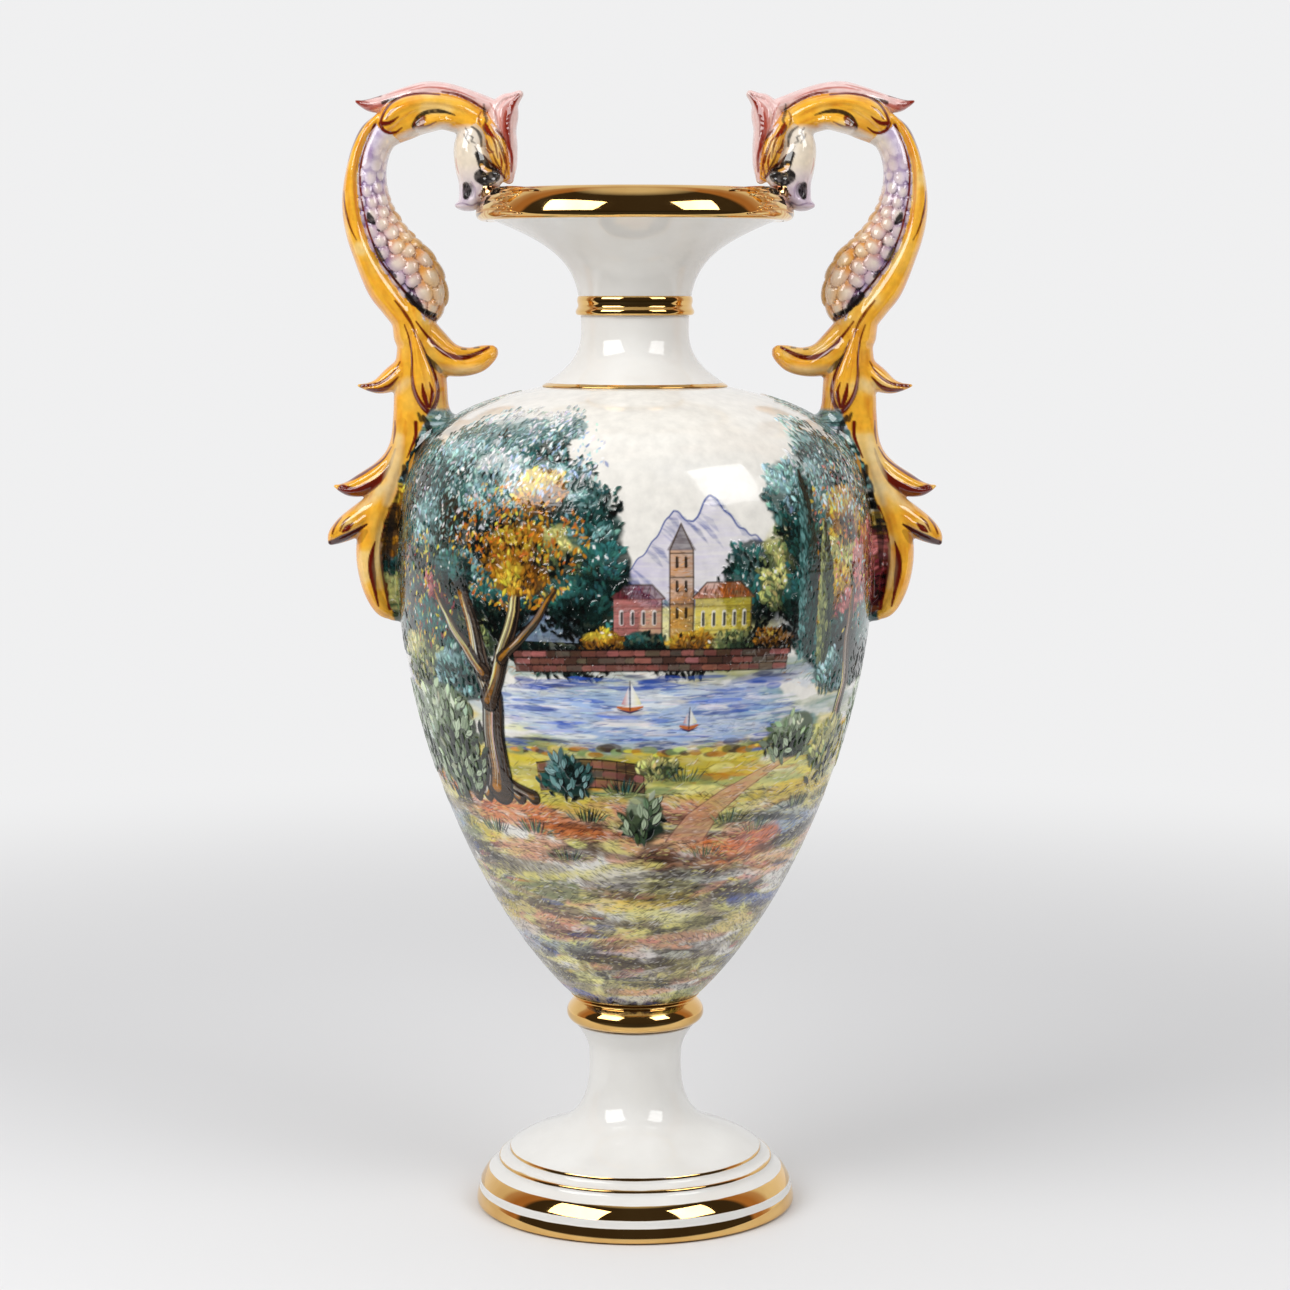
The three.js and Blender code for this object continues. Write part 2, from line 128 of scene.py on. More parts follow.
# Mesh making
def link(name, verts_mm, faces):
    """A smooth mesh of faces that all have the same number of corners."""
    mesh = bpy.data.meshes.new(name)
    verts = np.asarray(verts_mm, np.float32) * MM
    faces = np.asarray(faces, np.int32)
    width = faces.shape[1]
    mesh.vertices.add(len(verts))
    mesh.vertices.foreach_set("co", verts.ravel())
    mesh.loops.add(faces.size)
    mesh.loops.foreach_set("vertex_index", faces.ravel())
    mesh.polygons.add(len(faces))
    mesh.polygons.foreach_set("loop_start", np.arange(0, faces.size, width, dtype=np.int32))
    mesh.update(calc_edges=True)
    mesh.polygons.foreach_set("use_smooth", np.full(len(faces), True))
    obj = bpy.data.objects.new(name, mesh)
    bpy.context.collection.objects.link(obj)
    return obj


def lathe(name, line, segments):
    """A profile that closes on itself, turned about Z, as one quad mesh."""
    rows = len(line)
    angle = 2 * np.pi * np.arange(segments) / segments
    x = line[:, 0][:, None] * np.cos(angle)
    y = line[:, 0][:, None] * np.sin(angle)
    z = np.repeat(line[:, 1][:, None], segments, 1)
    verts = np.stack([x, y, z], -1).reshape(-1, 3)
    i, j = np.meshgrid(np.arange(rows), np.arange(segments), indexing="ij")
    here, above = i * segments, (i + 1) % rows * segments
    after = (j + 1) % segments
    faces = np.stack([here + j, here + after, above + after, above + j], -1).reshape(-1, 4)
    return link(name, verts, faces)


def colour_attribute(obj, name, values):
    layer = obj.data.attributes.new(name, "FLOAT_COLOR", "POINT")
    rgba = np.ones((len(values), 4), np.float32)
    rgba[:, :3] = values
    layer.data.foreach_set("color", rgba.ravel())


def gilt_attribute(obj, values):
    layer = obj.data.attributes.new("gilt", "FLOAT", "POINT")
    layer.data.foreach_set("value", values.astype(np.float32))


def linear(rgb255):
    """A colour given as on a screen, 0 to 255, as amounts of light."""
    c = np.asarray(rgb255, float) / 255
    return np.where(c <= 0.04045, c / 12.92, ((c + 0.055) / 1.055) ** 2.4)


# Materials
WHITE_TONES = ((0.78, 0.765, 0.73), (0.83, 0.82, 0.79))
GOLD_TONES = ((0.72, 0.42, 0.13), (0.88, 0.58, 0.22))


def material(name):
    mat = bpy.data.materials.new(name)
    mat.use_nodes = True
    tree = mat.node_tree
    return mat, tree, tree.nodes["Principled BSDF"]


def feed(tree, socket, value):
    """Links a socket to another node's output, or sets it to a value."""
    if isinstance(value, bpy.types.NodeSocket):
        tree.links.new(value, socket)
    else:
        socket.default_value = value


def noise(tree, scale, detail, distortion=0.0):
    coord = tree.nodes.new("ShaderNodeTexCoord")
    node = tree.nodes.new("ShaderNodeTexNoise")
    node.inputs["Scale"].default_value = scale
    node.inputs["Detail"].default_value = detail
    node.inputs["Distortion"].default_value = distortion
    tree.links.new(coord.outputs["Object"], node.inputs["Vector"])
    return node.outputs["Fac"]


def ramp(tree, source, *stops):
    """Colours between the stops (position, colour) along a source's values."""
    node = tree.nodes.new("ShaderNodeValToRGB")
    elements = node.color_ramp.elements
    while len(elements) < len(stops):
        elements.new(0.5)
    for element, (position, colour) in zip(elements, stops):
        element.position = position
        element.color = (*colour, 1)
    tree.links.new(source, node.inputs["Fac"])
    return node.outputs["Color"]


def attribute(tree, name, output):
    node = tree.nodes.new("ShaderNodeAttribute")
    node.attribute_name = name
    return node.outputs[output]


def calculated(tree, operation, *values, clamp=False):
    node = tree.nodes.new("ShaderNodeMath")
    node.operation = operation
    node.use_clamp = clamp
    for socket, value in zip(node.inputs, values):
        feed(tree, socket, value)
    return node.outputs[0]


def mixed(tree, factor, a, b, blend="MIX"):
    node = tree.nodes.new("ShaderNodeMix")
    node.data_type = "RGBA"
    node.blend_type = blend
    for key, value in (("Factor", factor), (6, a), (7, b)):
        feed(tree, node.inputs[key], value)
    return node.outputs[2]


def add_bump(tree, shader, source, strength, distance):
    bump = tree.nodes.new("ShaderNodeBump")
    bump.inputs["Strength"].default_value = strength
    bump.inputs["Distance"].default_value = distance
    tree.links.new(source, bump.inputs["Height"])
    tree.links.new(bump.outputs["Normal"], shader.inputs["Normal"])


def uneven_gloss(tree, shader, source, low, high, end=0.7):
    """Roughness between two values, after a source of noise."""
    tree.links.new(ramp(tree, source, (0.3, [low] * 3), (end, [high] * 3)), shader.inputs["Roughness"])


def shaded_paint(tree, name, cloud, least, start, end):
    """The colours that a vertex attribute holds, a little darker in places."""
    shade = ramp(tree, cloud, (start, [least] * 3), (end, (1, 1, 1)))
    return mixed(tree, 1.0, attribute(tree, name, "Color"), shade, "MULTIPLY")


def painted_glaze(name, ripple, roughness, ior, gilded=False):
    """Brushed enamel colours under a glossy glaze; where it is gilded, an attribute says how much."""
    mat, tree, shader = material(name)
    paint = shaded_paint(tree, "paint", noise(tree, 160, 3), 0.86, 0.3, 0.7)
    tree.links.new(paint, shader.inputs["Base Color"])
    uneven_gloss(tree, shader, noise(tree, 120, 2), *roughness)
    shader.inputs["IOR"].default_value = ior
    shader.inputs["Coat Weight"].default_value = 0.4
    shader.inputs["Coat Roughness"].default_value = 0.04
    add_bump(tree, shader, noise(tree, 45, 2), ripple, 0.0006)
    if gilded:
        tree.links.new(attribute(tree, "gilt", "Fac"), shader.inputs["Metallic"])
    return mat


def gold_tone(tree, cloud):
    low, high = GOLD_TONES
    return ramp(tree, cloud, (0.25, low), (0.75, high))


def gold(name, painted=False):
    """Bright gold lustre, thin and a little uneven; an attribute may hold its colours."""
    mat, tree, shader = material(name)
    cloud = noise(tree, 40, 4)
    colour = shaded_paint(tree, "paint", cloud, 0.8, 0.25, 0.75) if painted else gold_tone(tree, cloud)
    tree.links.new(colour, shader.inputs["Base Color"])
    shader.inputs["Metallic"].default_value = 1.0
    uneven_gloss(tree, shader, noise(tree, 150, 3), 0.03, 0.09, 0.75)
    add_bump(tree, shader, noise(tree, 60, 2), 0.2, 0.0005)
    return mat


def gilded_porcelain(name):
    """White glaze with gold where the signed distance in the attribute "gilt" (mm) is positive."""
    mat, tree, shader = material(name)
    wobble = calculated(tree, "MULTIPLY_ADD", noise(tree, 55, 3), 0.7, -0.35)
    inside = calculated(tree, "ADD", attribute(tree, "gilt", "Fac"), wobble)
    gilded = calculated(tree, "MULTIPLY_ADD", inside, 4.0, 0.5, clamp=True)
    cloud = noise(tree, 40, 4)
    low, high = WHITE_TONES
    white = ramp(tree, cloud, (0.3, low), (0.7, high))
    tree.links.new(mixed(tree, gilded, white, gold_tone(tree, cloud)), shader.inputs["Base Color"])
    tree.links.new(gilded, shader.inputs["Metallic"])
    uneven_gloss(tree, shader, noise(tree, 120, 3), 0.02, 0.06, 0.75)
    shader.inputs["IOR"].default_value = 1.55
    add_bump(tree, shader, noise(tree, 25, 2), 0.25, 0.0008)
    return mat


GOLD = gold("gold_lustre")
LEAF_GOLD = gold("painted_gold", painted=True)
PAINT = painted_glaze("painted_landscape", 0.15, (0.1, 0.2), 1.5)
HANDLE = painted_glaze("handle_glaze", 0.2, (0.03, 0.08), 1.65, gilded=True)
GILDED = gilded_porcelain("gilded_porcelain")
UNGILT = -20.0


def gilt_bands(obj, bands):
    """Stores the signed distance (mm) to the nearest of the bands [(low, high, least radius)]."""
    co = np.empty(len(obj.data.vertices) * 3, np.float32)
    obj.data.vertices.foreach_get("co", co)
    co = co.reshape(-1, 3) / MM
    radius = np.hypot(co[:, 0], co[:, 1])
    best = np.full(len(co), UNGILT)
    for low, high, least in bands:
        inside = np.minimum(co[:, 2] - low, high - co[:, 2])
        best = np.maximum(best, np.where(radius > least, inside, UNGILT))
    gilt_attribute(obj, best)


def finish_piece(obj, mat, slot, *nodes):
    """One piece of the urn's root body, with its material and the nodes whose place it takes; its slot is
    not used.
    """
    obj.data.materials.clear()
    obj.data.materials.append(mat)
    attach(obj, "root")
    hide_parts(*nodes)


# Vessel
SEGMENTS = 192


def make_foot():
    top = foot_high[2] + 1.0
    outer = joined(
        [(70, 0), (84, 0)],
        bezier((84, 0), (85.4, 0.1), (86.2, 0.6), (86.2, 1.7), 8),
        bezier((86.2, 1.7), (86.1, 3.4), (85.6, 6.0), (84.9, 7.9), 10),
        bezier((84.9, 7.9), (84.4, 8.8), (84.2, 9.4), (84.3, 10.2), 6),
        bezier((84.3, 10.2), (84.4, 10.8), (84.3, 11.3), (83.9, 12), 6),
        bezier((83.9, 12), (82.8, 14.3), (81.3, 16.6), (79.4, 18.5), 14),
        bezier((79.4, 18.5), (77.4, 20.4), (74.6, 21), (74, 23.4), 12),
        arc((73, 24.2), 1, -10, 90, 5),
        bezier((73, 25.2), (70.5, 25.4), (68.6, 26.6), (68.1, 28.6), 8),
        arc((67.2, 29.3), 0.9, -10, 80, 5),
        bezier((67.2, 30.3), (48, 43.6), (24.8, 37), (24.8, 76), 80),
        bezier((24.8, 76), (24.8, 84), (24.6, 88), (32, top - 0.4), 40),
        [(31.5, top), (5.5, top), (5.5, top - 10), (17.5, top - 10)],
    )
    inner = joined(bezier((18.8, 82), (18.8, 40), (42, 37), (62, 26), 40), [(66, 15), (69, 9)])
    line = joined(resampled(outer, 0.8), resampled(inner, 3.0))
    foot = lathe("pedestal", line, SEGMENTS)
    gilt_bands(foot, [(-1, 7.9, 70), (12.0, 18.5, 79), (23.7, 25.1, 72), (28.6, 29.95, 66)])
    finish_piece(foot, GILDED, "porcelain", "pedestal_foot")


def make_collar():
    """A roll between foot and body, whose gilding runs up on to the body's flare."""
    low, high = collar_low[2] + 0.9, collar_high[2]
    out = COLLAR_R - 0.1
    outer = joined(
        [(26, low), (30, low)],
        bezier((30, low), (33.8, low + 0.2), (out, low + 2.2), (out, low + 6), 16),
        bezier((out, low + 6), (out, low + 9.4), (34.4, high - 1.8), (32.8, high + 0.2), 20),
        bezier((32.5, high + 0.2), (32.4, high + 0.9), (33.3, high + 1.6), (34.9, high + 3.2), 8),
        [(26, high + 3.2)],
    )
    collar = lathe("gilt_collar", resampled(joined(outer, [(26, low)])[:-1], 0.6), SEGMENTS)
    finish_piece(collar, GOLD, "gilding", "waist_collar")


def make_neck():
    """The neck, with a gilded bead where it is luted on to the shoulder."""
    z0, z1 = neck_low[2], neck_high[2]
    outer = joined(
        [(49.3, z0 - 0.9)],
        bezier((49.3, z0 - 0.6), (48.8, z0 + 0.3), (47.6, z0 + 0.5), (46.7, z0 + 1.2), 8),
        bezier((46.7, z0 + 1.2), (43.6, z0 + 4.4), (28.5, z0 + 10.5), (28.5, z0 + 28.3), 60),
        bezier((28.5, z0 + 28.3), (28.5, z1 - 27), (35.8, z1 - 16.3), (79.5, z1), 90),
    )
    inside = inset(outer, 5.0)[::-1]
    inside = inside[(inside[:, 1] < z1 - 0.5) & (inside[:, 1] > z0 + 0.5)]
    line = joined([(SHOULDER_R - 8, z0)], outer, [(70, z1)], inside)
    neck = lathe("neck", resampled(line, 0.8)[:-1], SEGMENTS)
    gilt_bands(neck, [(z0 - 2, z0 + 1.1, 40)])
    finish_piece(neck, GILDED, "porcelain", "neck_and_mouth")


def make_ring():
    """A band with two rounded edges and a slight hollow between."""
    low, high = ring_low[2], ring_high[2] + 1.2
    top, waist = RING_R - 0.8, RING_R - 1.25
    line = joined(
        [(28.6, low), (29.6, low)],
        bezier((29.6, low), (30.8, low), (RING_R, low + 0.7), (RING_R, low + 1.8), 8),
        bezier((RING_R, low + 1.8), (RING_R, low + 3.2), (waist, high - 6.4), (waist, high - 5.2), 12),
        bezier((waist, high - 5.2), (waist, high - 4.4), (top, high - 3.8), (top, high - 2.6), 8),
        bezier((top, high - 2.6), (top, high - 1.2), (30.2, high), (28.9, high), 10),
        [(28.5, high)],
    )
    finish_piece(lathe("gilt_neck_ring", line, SEGMENTS), GOLD, "gilding", "neck_ring")


RIM_UNDER = 3.2


def rim_profile():
    """The rolled rim from its inner edge over the top, down a long slope and under."""
    low, high = rim_low[2] - 2.3, rim_high[2] - 1.2
    return joined(
        bezier((70.2, high - 4), (70.2, high - 1.4), (70.4, high), (71.8, high), 8),
        bezier((71.8, high), (76, high), (81.2, low + 9.6), (RIM_R, low + RIM_UNDER), 24),
        arc((RIM_R - RIM_UNDER, low + RIM_UNDER), RIM_UNDER, 0, -90, 8),
        [(74, low)],
    )


def make_rim():
    profile = rim_profile()
    low, high = profile[-1][1], profile[:, 1].max()
    line = joined([(69, low)], profile[::-1], [(69, high - 8)])
    finish_piece(lathe("gilt_rim", resampled(line, 0.8), SEGMENTS), GOLD, "gilding", "mouth_rim")


make_foot()
make_collar()
make_neck()
make_ring()
make_rim()


# The painted body: a canvas round the vessel. X runs along the belly's girth in mm from the front, and
# heights are the urn's own, so that a place on the canvas is a place on the vessel.
COLUMNS = 1600
GIRTH = 2 * math.pi * BELLY_R
STEP = GIRTH / COLUMNS
OVER = 2
body_line = resampled(body_outer, STEP)
ROWS = len(body_line)
body_run = np.r_[0, np.cumsum(np.hypot(*np.diff(body_line, axis=0).T))]
WIDE = COLUMNS * OVER
HIGH = ROWS * OVER
PIXEL = STEP / OVER


def smoothstep(t):
    t = np.clip(t, 0, 1)
    return t * t * (3 - 2 * t)


def cloud_field(wide, high):
    """Smooth noise between 0 and 1 over the canvas, on cells of one size in mm; its two sides meet."""
    nx = max(3, round(GIRTH / wide))
    grid = rng.random((int(HIGH * PIXEL / high) + 3, nx)).astype(np.float32)
    fx = np.arange(WIDE) / WIDE * nx
    fz = np.arange(HIGH) * PIXEL / high
    ix, iz = fx.astype(int), fz.astype(int)
    tx, tz = smoothstep(fx - ix).astype(np.float32), smoothstep(fz - iz).astype(np.float32)[:, None]
    rows = grid[iz] * (1 - tz) + grid[iz + 1] * tz
    return rows[:, ix] * (1 - tx) + rows[:, (ix + 1) % nx] * tx


BLOTCH = 0.55 * cloud_field(24, 14) + 0.3 * cloud_field(8, 5) + 0.15 * cloud_field(2.6, 1.8)
STREAK = 0.4 * cloud_field(16, 1.5) + 0.35 * cloud_field(7, 0.8) + 0.25 * cloud_field(3, 0.5)
STREAK = smoothstep((STREAK - 0.2) / 0.6)
GRAIN = cloud_field(0.9, 0.7)

# Brush dabs of one size and direction: leaves are pointed and needles are fine lines
TURNS = 24
LENGTHS = (5, 7, 9, 11, 14, 18, 22, 28, 36)


def dab_mask(length, width, turn, power):
    """One dab's cover, in pixels; a higher power gives it blunter ends."""
    n = int(length / 2) + 2
    gy, gx = np.mgrid[-n:n + 1, -n:n + 1]
    a = math.pi * turn / TURNS
    u = (gx * math.cos(a) + gy * math.sin(a)) * 2 / length
    v = np.abs(gy * math.cos(a) - gx * math.sin(a))
    half = width / 2 * np.clip(1 - np.abs(u) ** power, 0, 1)
    return np.clip(half - v + 0.5, 0, 1).astype(np.float32) * (np.abs(u) < 1)


def dab_kind(width, power):
    """Masks of one kind by length and direction; the width is a function of the length."""
    return [[dab_mask(length, width(length), k, power) for k in range(TURNS)] for length in LENGTHS]


LEAVES = dab_kind(lambda length: length * 0.42, 1.7)
NEEDLES = dab_kind(lambda length: 1.5, 3)
LINES = dab_kind(lambda length: 2.6, 3)


class Canvas:
    """Enamel on glaze: colours and a low relief, painted stroke by stroke."""

    def __init__(self, ground):
        self.colour = np.empty((HIGH, WIDE, 3), np.float32)
        self.colour[:] = ground
        self.relief = np.zeros((HIGH, WIDE), np.float32)

    def place(self, x, z):
        """Column and row of a place on the vessel."""
        run = np.interp(z, body_line[:, 1], body_run)
        return (np.asarray(x) / GIRTH + 0.5) * WIDE, run / PIXEL

    def tone(self, field, x, z):
        px, py = self.place(x, z)
        return field[np.clip(py.astype(int), 0, HIGH - 1), px.astype(int) % WIDE]

    def dabs(self, kind, x, z, length, angle, colour, alpha=1.0, raised=0.0):
        """Many brush dabs, in order; every argument after the kind may be a number or one per dab."""
        px, py = self.place(x, z)
        count = len(px)
        size = np.searchsorted(LENGTHS, np.broadcast_to(length, count) / PIXEL).clip(0, len(LENGTHS) - 1)
        turn = np.round(np.broadcast_to(angle, count) / math.pi * TURNS).astype(int) % TURNS
        colour = np.broadcast_to(colour, (count, 3)).astype(np.float32)
        alpha = np.broadcast_to(alpha, count).astype(np.float32)
        px, py = px.astype(int), py.astype(int)
        for k in range(count):
            mask = kind[size[k]][turn[k]]
            n = mask.shape[0] // 2
            low, left = py[k] - n, px[k] - n
            top, right = py[k] + n + 1, px[k] + n + 1
            if low < 0 or top > HIGH:
                continue
            if left < 0 or right > WIDE:
                block = np.ix_(np.arange(low, top), np.arange(left, right) % WIDE)
            else:
                block = (slice(low, top), slice(left, right))
            under = self.colour[block]
            self.colour[block] = under + (colour[k] - under) * (mask * alpha[k])[..., None]
            if raised:
                self.relief[block] = np.maximum(self.relief[block], raised * mask)

    def patch(self, x, z, wide, high, colour, alpha, ragged=0.8, dry=0.5, lean=0.0, soft=0.5):
        """A wash with ragged, soft edges, streaked by the brush."""
        px, py = self.place(x, z)
        a, b = wide / 2 / PIXEL, high / 2 / PIXEL
        grow = math.sqrt(1 + ragged)
        columns = np.arange(int(px - a * grow), int(px + a * grow) + 1)
        tall = b * grow + abs(lean) * a * grow
        rows = np.arange(max(0, int(py - tall)), min(HIGH, int(py + tall) + 1))
        block = np.ix_(rows, columns % WIDE)
        across = (columns - px)[None, :]
        q = 1 - (across / a) ** 2 - ((rows[:, None] - py - lean * across) / b) ** 2
        mask = smoothstep((q + ragged * (BLOTCH[block] - 0.5) * 2) / soft)
        weight = (alpha * mask * (1 - dry * (1 - STREAK[block])))[..., None].astype(np.float32)
        self.colour[block] += (np.asarray(colour, np.float32) - self.colour[block]) * weight

    def stroke(self, xs, zs, width, colour, alpha=1.0, raised=0.0, dry=0.0):
        """A tapering stroke through points; dry lets the bristles' streaks show."""
        px, py = self.place(np.asarray(xs, float), np.asarray(zs, float))
        half = np.interp(np.linspace(0, 1, len(px)), np.linspace(0, 1, len(width)), width) / 2 / PIXEL
        reach = half.max() + 1.5
        x0, x1 = int(px.min() - reach), int(px.max() + reach) + 2
        y0, y1 = max(0, int(py.min() - reach)), min(HIGH, int(py.max() + reach) + 2)
        if y1 <= y0:
            return
        gx = np.arange(x0, x1)[None, :] + 0.5
        gy = np.arange(y0, y1)[:, None] + 0.5
        cover = np.zeros((y1 - y0, x1 - x0), np.float32)
        for k in range(len(px) - 1):
            dx, dy = px[k + 1] - px[k], py[k + 1] - py[k]
            length = max(math.hypot(dx, dy), 1e-6)
            ux, uy = dx / length, dy / length
            along = np.clip((gx - px[k]) * ux + (gy - py[k]) * uy, 0, length)
            distance = np.hypot(gx - px[k] - along * ux, gy - py[k] - along * uy)
            here = half[k] + (half[k + 1] - half[k]) * along / length
            cover = np.maximum(cover, np.clip(here - distance + 0.5, 0, 1))
        block = np.ix_(np.arange(y0, y1), np.arange(x0, x1) % WIDE)
        if dry:
            cover = cover * (1 - dry * (1 - STREAK[block]))
        weight = (cover * alpha)[..., None]
        self.colour[block] = self.colour[block] * (1 - weight) + np.asarray(colour, np.float32) * weight
        if raised:
            self.relief[block] = np.maximum(self.relief[block], raised * cover)

    def shape(self, xs, zs, colour, alpha=1.0, shade=None, dry=0.35):
        """A filled outline, brushed over with streaks; shade is a second colour for its right side."""
        px, py = self.place(np.asarray(xs, float), np.asarray(zs, float))
        x0, x1 = int(px.min()) - 1, int(px.max()) + 2
        y0, y1 = max(0, int(py.min()) - 1), min(HIGH, int(py.max()) + 2)
        gx = np.arange(x0, x1)[None, :] + 0.5
        gy = np.arange(y0, y1)[:, None] + 0.5
        inside = np.zeros((y1 - y0, x1 - x0), bool)
        for k in range(len(px)):
            ax, ay, bx, by = px[k - 1], py[k - 1], px[k], py[k]
            if ay == by:
                continue
            crosses = (gy < ay) != (gy < by)
            inside ^= crosses & (gx < (bx - ax) * (gy - ay) / (by - ay) + ax)
        block = np.ix_(np.arange(y0, y1), np.arange(x0, x1) % WIDE)
        tone = (1 - dry * (1 - STREAK[block])) * (1 - dry * (1 - BLOTCH[block]))
        weight = (inside * alpha * tone)[..., None].astype(np.float32)
        fill = np.asarray(colour, np.float32)
        if shade is not None:
            t = np.linspace(0, 1, x1 - x0)[None, :, None] ** 1.5
            fill = fill * (1 - t) + np.asarray(shade, np.float32) * t
        self.colour[block] = self.colour[block] * (1 - weight) + fill * weight

    def finished(self):
        """Colours and relief as fired: enamels deepen, and the bare glaze stays white."""
        painted = np.clip(1.5 - 1.75 * self.colour.min(-1), 0, 1)
        grain = 1 + painted * (0.035 * (GRAIN - 0.8) + 0.03 * (STREAK - 0.5))
        colour = 1.03 * np.clip(self.colour, 0, 1) ** 1.15 * grain[..., None]
        relief = self.relief + painted * (0.07 * STREAK + 0.03 * GRAIN)
        colour = colour.reshape(ROWS, OVER, COLUMNS, OVER, 3).mean((1, 3))
        relief = relief.reshape(ROWS, OVER, COLUMNS, OVER).mean((1, 3))
        return np.clip(colour, 0, 1), relief


# Enamel colours
CREAM = linear((241, 238, 231))
BLACK = linear((22, 20, 20))
SEPIA = linear((84, 66, 52))
GREY = linear((128, 118, 104))
TEAL = linear((58, 112, 108))
AQUA = linear((178, 216, 216))
DEEP = linear((26, 52, 48))
SAGE = linear((148, 164, 112))
OCHRE = linear((206, 142, 42))
ORANGE = linear((206, 116, 46))
YELLOW = linear((236, 214, 82))
LEMON = linear((240, 232, 152))
PINK = linear((216, 140, 134))
ROSE = linear((140, 54, 66))
BRICK = linear((128, 84, 74))
BLUE = linear((64, 98, 184))
PALE_BLUE = linear((176, 198, 232))
NAVY = linear((32, 42, 98))
LILAC = linear((176, 168, 208))
SALMON = linear((226, 170, 138))
WHITE = linear((248, 247, 244))

canvas = Canvas(CREAM)


def jitter(colour, amount=0.16):
    """The colour a little lighter or darker, and a little off its hue."""
    lighter = 1 + rng.normal(0, amount)
    hue = 1 + rng.normal(0, amount * 0.4, 3)
    return np.clip(np.asarray(colour) * lighter * hue, 0, 1)


def one_of(colours):
    return colours[rng.integers(len(colours))]


def within_oval(x, z, wide, high, count):
    """Random places in an oval, and the directions and shares of its radius they lie at."""
    a = rng.uniform(0, 2 * math.pi, count)
    r = np.sqrt(rng.uniform(0, 1, count))
    return x + wide / 2 * r * np.cos(a), z + high / 2 * r * np.sin(a), a, r


def any_way(px, pz, sizes, colour, raised=0.0):
    """Small leaf-shaped dabs that point any way."""
    size = rng.uniform(*sizes, len(px))
    canvas.dabs(LEAVES, px, pz, size, rng.uniform(0, 3.1, len(px)), colour, 0.9, raised)


def crown(x, z, wide, high, tones, leaf=3.1, density=1.0, inked=1.0):
    """A round mass of leaves; the tones run from the shade below to the lit top."""
    dark, mid, pale = (np.asarray(tone) for tone in tones)
    canvas.patch(x, z, wide, high, mid * 0.6, 0.92, 0.6, 0.15, 0, 0.3)
    canvas.patch(x + wide * 0.12, z - high * 0.22, wide * 0.8, high * 0.6, dark, 0.85, 0.7, 0.3)
    canvas.patch(x - wide * 0.14, z + high * 0.24, wide * 0.62, high * 0.44, pale, 0.55, 0.7, 0.4)
    count = int(density * wide * high / leaf**2 * 1.5)
    a, r = rng.uniform(0, 2 * math.pi, count), np.sqrt(rng.uniform(0, 1, count))
    bump = 1 + 0.1 * np.sin(3 * a + x) + 0.07 * np.sin(7 * a + z)
    u, w = r * np.cos(a), r * np.sin(a)
    px, pz = x + wide / 2 * u * bump, z + high / 2 * w * bump
    drift = np.clip(5.5 * (canvas.tone(BLOTCH, px, pz) - 0.5), -1, 1)
    lit = 0.46 + 0.28 * w - 0.2 * u + 0.42 * drift + rng.normal(0, 0.12, count)
    order = np.argsort(lit + rng.normal(0, 0.25, count))
    px, pz, lit, u, w = px[order], pz[order], np.clip(lit[order], 0, 1), u[order], w[order]
    share = np.clip(lit * 2, 0, 1)[:, None]
    over = np.clip(lit * 2 - 1, 0, 1)[:, None]
    colour = dark * (0.35 + 0.65 * share) * (1 - share) + mid * share
    colour = colour * (1 - over) + np.clip(pale * 1.15, 0, 1) * over
    colour = np.clip(colour * rng.normal(1, 0.16, (count, 1)) * rng.normal(1, 0.07, (count, 3)), 0, 1)
    angle = math.pi / 2 - u * 0.9 + rng.normal(0, 0.55, count)
    length = leaf * rng.uniform(0.75, 1.35, count)
    # Each leaf lies on its own dark edge, and leaves in the shade stay close to that edge's tone
    edge = np.clip(colour * np.where(lit > 0.6, 0.6, 0.28)[:, None], 0, 1)
    twice = np.repeat(np.arange(count), 2)
    is_leaf = np.arange(2 * count) % 2 == 1
    canvas.dabs(
        LEAVES, px[twice] + np.where(is_leaf, 0, 0.35), pz[twice] + np.where(is_leaf, 0, -0.35),
        length[twice] * np.where(is_leaf, 1, 1.15), angle[twice],
        np.where(is_leaf[:, None], colour[twice], edge[twice]), np.where(is_leaf, 0.9, 0.75), 0.55,
    )
    few = int(count * 0.3 * inked)
    pick = rng.integers(0, count, few)
    line = length[pick] * rng.uniform(0.8, 1.5, few)
    canvas.dabs(NEEDLES, px[pick], pz[pick], line, angle[pick] + rng.normal(0, 0.5, few), BLACK, 0.75)
    hole = rng.integers(0, count, int(count * 0.3))
    hole = hole[lit[hole] < 0.4]
    any_way(px[hole], pz[hole], (1.4, 3.0), BLACK)
    # White flecks on the lit side of a crown: painted highlights that stand for glints on the glazed relief
    painted_glint = rng.integers(0, count, int(count * 0.1))
    painted_glint = painted_glint[lit[painted_glint] > 0.78]
    any_way(px[painted_glint], pz[painted_glint], (1.2, 2.4), WHITE, 0.45)


